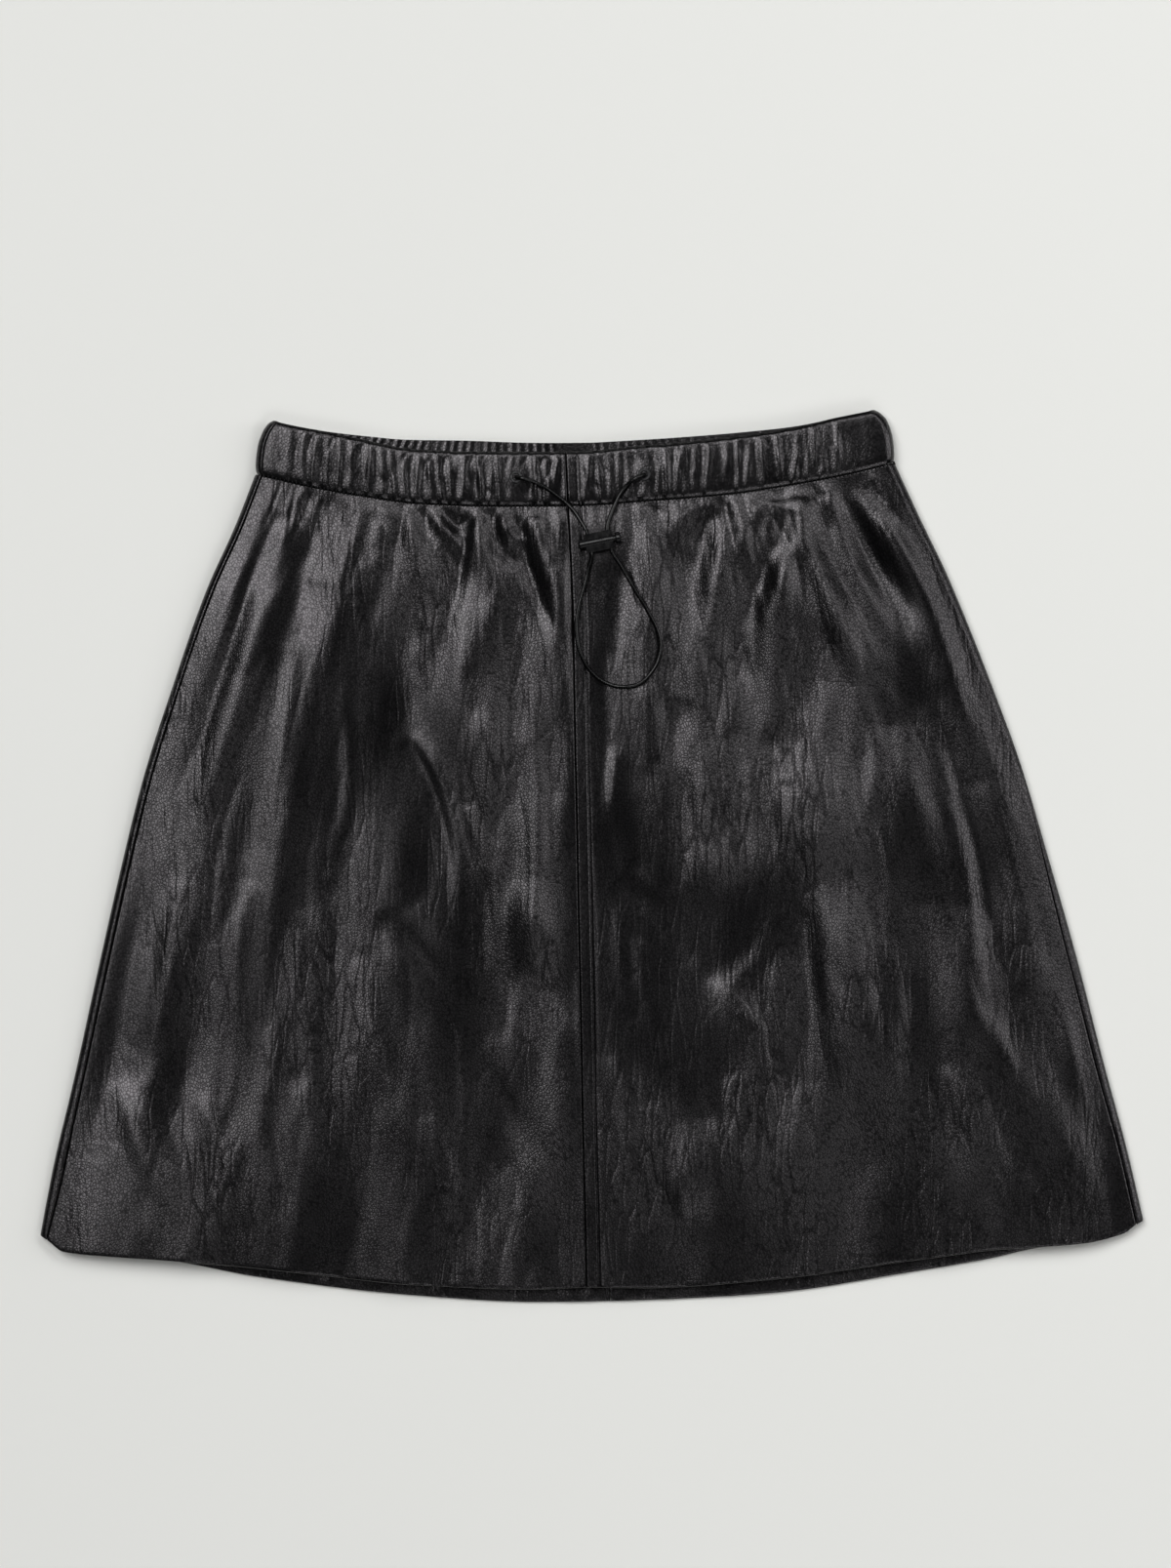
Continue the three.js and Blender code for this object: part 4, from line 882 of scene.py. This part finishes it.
def make_fronts():
    fine, coarse, columns = ((1.1, 2.1, 168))
    at = spaced(FRONT_LENGTH, fine, coarse)
    for word, side in SIDES:
        _, start, _, _, end = front_span(SKIRT, side, at)
        along = across_columns(start, end, columns)
        if side > 0:
            strip = [end - STRIP_WIDTH + distance for distance in STRIP_STEPS]
            along = np.sort(np.concatenate([along] + strip, axis=1), axis=1)
        piece = closed_shell(f"front_{word}", *front_panel(side, at, along))
        dress(piece, LEATHER, f"front_panel_{word}")


def make_backs():
    fine, coarse, columns = ((2.0, 3.0, 110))
    at = spaced(BACK_LENGTH, fine, coarse)
    for word, side in SIDES:
        _, _, start, end = back_span(SKIRT, side, at, column(SKIRT, "back_seam", at))
        rolled = mix(start, end, 0.08)
        roll = across_columns(start, rolled, 14)[:, :-5]
        flat = across_columns(rolled, end, columns)[:, 5:]
        along = np.concatenate([roll, flat], axis=1)
        piece = closed_shell(f"back_{word}", *back_panel(side, at, along))
        dress(piece, LEATHER, f"back_panel_{word}")


def make_band():
    fine, coarse, columns = ((0.8, 1.1, 190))
    at = np.maximum(spaced(BAND_LENGTH, fine, coarse), SEAM_GAP / BAND_LENGTH)
    at = np.unique(at, axis=0)
    for word, side in SIDES:
        _, start, _, _, end = front_span(BAND, side, at)
        along = across_columns(start, end, columns)
        piece = closed_shell(f"band_front_{word}", *front_band(side, at, along))
        dress(piece, BAND_LEATHER, f"waistband_front_{word}")
    halves = []
    for side in (-1, 1):
        _, start, end = back_band_span(side, at)
        halves.append(back_band(side, at, across_columns(start, end, columns + 20)))
    outer, inner = (
        np.concatenate([halves[0][face], halves[1][face][:, ::-1]], axis=1) for face in (0, 1)
    )
    piece = closed_shell("band_back", outer, inner)
    dress(piece, BAND_LEATHER, "waistband_back")


def make_stitches(name, starts, ends, radius):
    """Short threads from point to point, joined in one mesh, each sunk a little at both ends."""
    shares = np.array([0.0, 0.12, 0.35, 0.65, 0.88, 1.0])
    girth = np.array([0.15, 0.8, 1.0, 1.0, 0.8, 0.15]) * radius
    sides = 6
    angles = np.arange(sides) / sides * 2 * math.pi
    run = ends - starts
    run /= np.linalg.norm(run, axis=1)[:, None]
    up = np.array([0.0, 0.0, 1.0])
    aside = np.cross(run, up)
    aside /= np.linalg.norm(aside, axis=1)[:, None]
    points = []
    for share, size in zip(shares, girth):
        centre = mix(starts, ends, share) + up * (4 * share * (1 - share) - 0.5) * radius * 0.8
        for angle in angles:
            points.append(centre + aside * math.cos(angle) * size + up * math.sin(angle) * size)
    stacked = np.stack(points, axis=1)
    count = stacked.shape[1]
    ring = np.arange(len(shares))[:-1, None] * sides
    near = ring + np.arange(sides)[None, :]
    far = ring + (np.arange(sides)[None, :] + 1) % sides
    quads = np.stack([near, far, far + sides, near + sides], axis=-1).reshape(-1, 4)
    caps = [np.arange(sides)[::-1], (len(shares) - 1) * sides + np.arange(sides)]
    faces = [(face + n * count).tolist()
             for kind in (quads, caps) for n in range(len(starts)) for face in kind]
    dress(make_mesh(name, stacked.reshape(-1, 3) / 1000, faces), THREAD)


def seam_line(surface, side, at, along):
    """The points of a face's outer side along a line."""
    outer, _ = surface(side, at[:, None], along[:, None])
    return outer[:, 0]


def make_strip_stitches(name, surface, source, rows):
    """A row of stitches along the strip, a little in from its edge."""
    _, _, _, _, end = front_span(source, 1, rows)
    line = seam_line(surface, 1, rows, end - STRIP_WIDTH + STITCH_INSET)
    steps = np.linalg.norm(np.diff(line, axis=0), axis=1)
    reach = np.concatenate([[0], np.cumsum(steps)])
    at_starts = (np.arange(int(reach[-1] / STITCH_PITCH)) + 0.2) * STITCH_PITCH
    starts, ends = (
        np.stack([np.interp(at, reach, line[:, axis]) for axis in range(3)], axis=1) + [0, 0, STITCH_LIFT]
        for at in (at_starts, at_starts + STITCH_PITCH * STITCH_SHARE)
    )
    make_stitches(name, starts, ends, STITCH_RADIUS)


def make_waist_stitches():
    """The stitches that join the band to the panels, across the groove between them."""
    for word, side in SIDES:
        _, start, _, _, end = front_span(SKIRT, side, np.array([0.0]))
        along = np.arange(start[0] + 1.5, end[0] - 1.5, WAIST_STITCH_PITCH)
        low = seam_line(front_panel, side, np.full(len(along), 0.0026), along)
        high = seam_line(front_band, side, np.full(len(along), 0.04), along)
        make_stitches(f"waist_stitches_{word}", low, high, WAIST_STITCH_RADIUS)


def make_cord():
    curve = bpy.data.curves.new("cord", "CURVE")
    curve.dimensions = "3D"
    curve.bevel_depth = CORD_DIAMETER / 2000
    curve.bevel_resolution = 5
    curve.use_fill_caps = True
    curve.resolution_u = 8
    spline = curve.splines.new("BEZIER")
    spline.bezier_points.add(len(CORD_ROUTE) - 1)
    for point, place in zip(spline.bezier_points, CORD_ROUTE):
        point.co = [value / 1000 for value in place]
        point.handle_left_type = "AUTO"
        point.handle_right_type = "AUTO"
    piece = dress(put_in_scene("cord", curve), CORD, "drawcord")


def finish_nodes():
    for node, material in (("lock_body", PLASTIC), ("lock_button", PLASTIC),
                           ("eyelet_left", ENAMEL), ("eyelet_right", ENAMEL)):
        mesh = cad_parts[node].data
        mesh.materials.clear()
        mesh.materials.append(material)


def make_stage():
    """A plain pale floor, just under the garment."""
    size = 6.0
    points = np.array([(-size, -size, 0), (size, -size, 0), (size, size, 0), (-size, size, 0)])
    floor = make_mesh("floor", points - [0, 0, 0.0004], [[0, 1, 2, 3]])
    shader = Shader("pale_floor")
    cloudy = shader.noise(shader.place, 1.4)
    colour = shader.colours(cloudy, (0.665, 0.668, 0.645), (0.693, 0.696, 0.672))
    floor.data.materials.append(shader.finished(colour, 0.8))


def area_light(name, place, target, size, power):
    """A rectangular lamp at a place, turned to a target."""
    light = bpy.data.lights.new(name, "AREA")
    light.shape = "RECTANGLE"
    light.size = size[0]
    light.size_y = size[1]
    light.energy = power
    lamp = put_in_scene(name, light)
    lamp.location = place
    direction = np.array(target, dtype=float) - np.array(place, dtype=float)
    flat = math.hypot(direction[0], direction[1])
    lamp.rotation_euler = (math.atan2(flat, -direction[2]), 0, math.atan2(-direction[0], direction[1]))


def make_lights():
    """A wide soft key from beyond the waist on the left, and low fill from the right."""
    area_light("key_left", (-2.35, 2.4, 6.2), (0, -0.05, 0), (4.0, 4.0), 375)
    area_light("window_top", (1.1, 2.0, 2.8), (0, 0, 0), (2.4, 1.2), 34)
    area_light("low_front", (0.9, -2.1, 3.0), (0, 0, 0), (2.0, 1.4), 25)
    area_light("fill_right", (2.3, 0.4, 1.5), (0, 0, 0), (1.2, 2.4), 28)
    world = bpy.data.worlds.new("studio")
    world.use_nodes = True
    background = world.node_tree.nodes["Background"]
    background.inputs["Color"].default_value = (1.0, 1.0, 0.985, 1)
    background.inputs["Strength"].default_value = 0.02
    bpy.context.scene.world = world
    bpy.context.scene.view_settings.view_transform = "Standard"


def make_camera():
    """A long lens straight down: the frame is 787 mm high at the garment's own height."""
    data = bpy.data.cameras.new("camera")
    data.sensor_fit = "VERTICAL"
    data.sensor_height = 36
    distance = 3.0
    data.lens = 36 * distance / 0.7874
    data.clip_end = 20
    camera = put_in_scene("camera", data)
    camera.location = (-0.0032, 0.0363, distance + 0.006)
    bpy.context.scene.camera = camera


make_camera()
make_cord()
make_fronts()
make_backs()
make_band()
make_strip_stitches("strip_stitches", front_panel, SKIRT, np.linspace(0.004, 0.996, 500))
make_strip_stitches("band_strip_stitches", front_band, BAND, np.linspace(0.03, 0.96, 60))
make_waist_stitches()
finish_nodes()
make_stage()
make_lights()
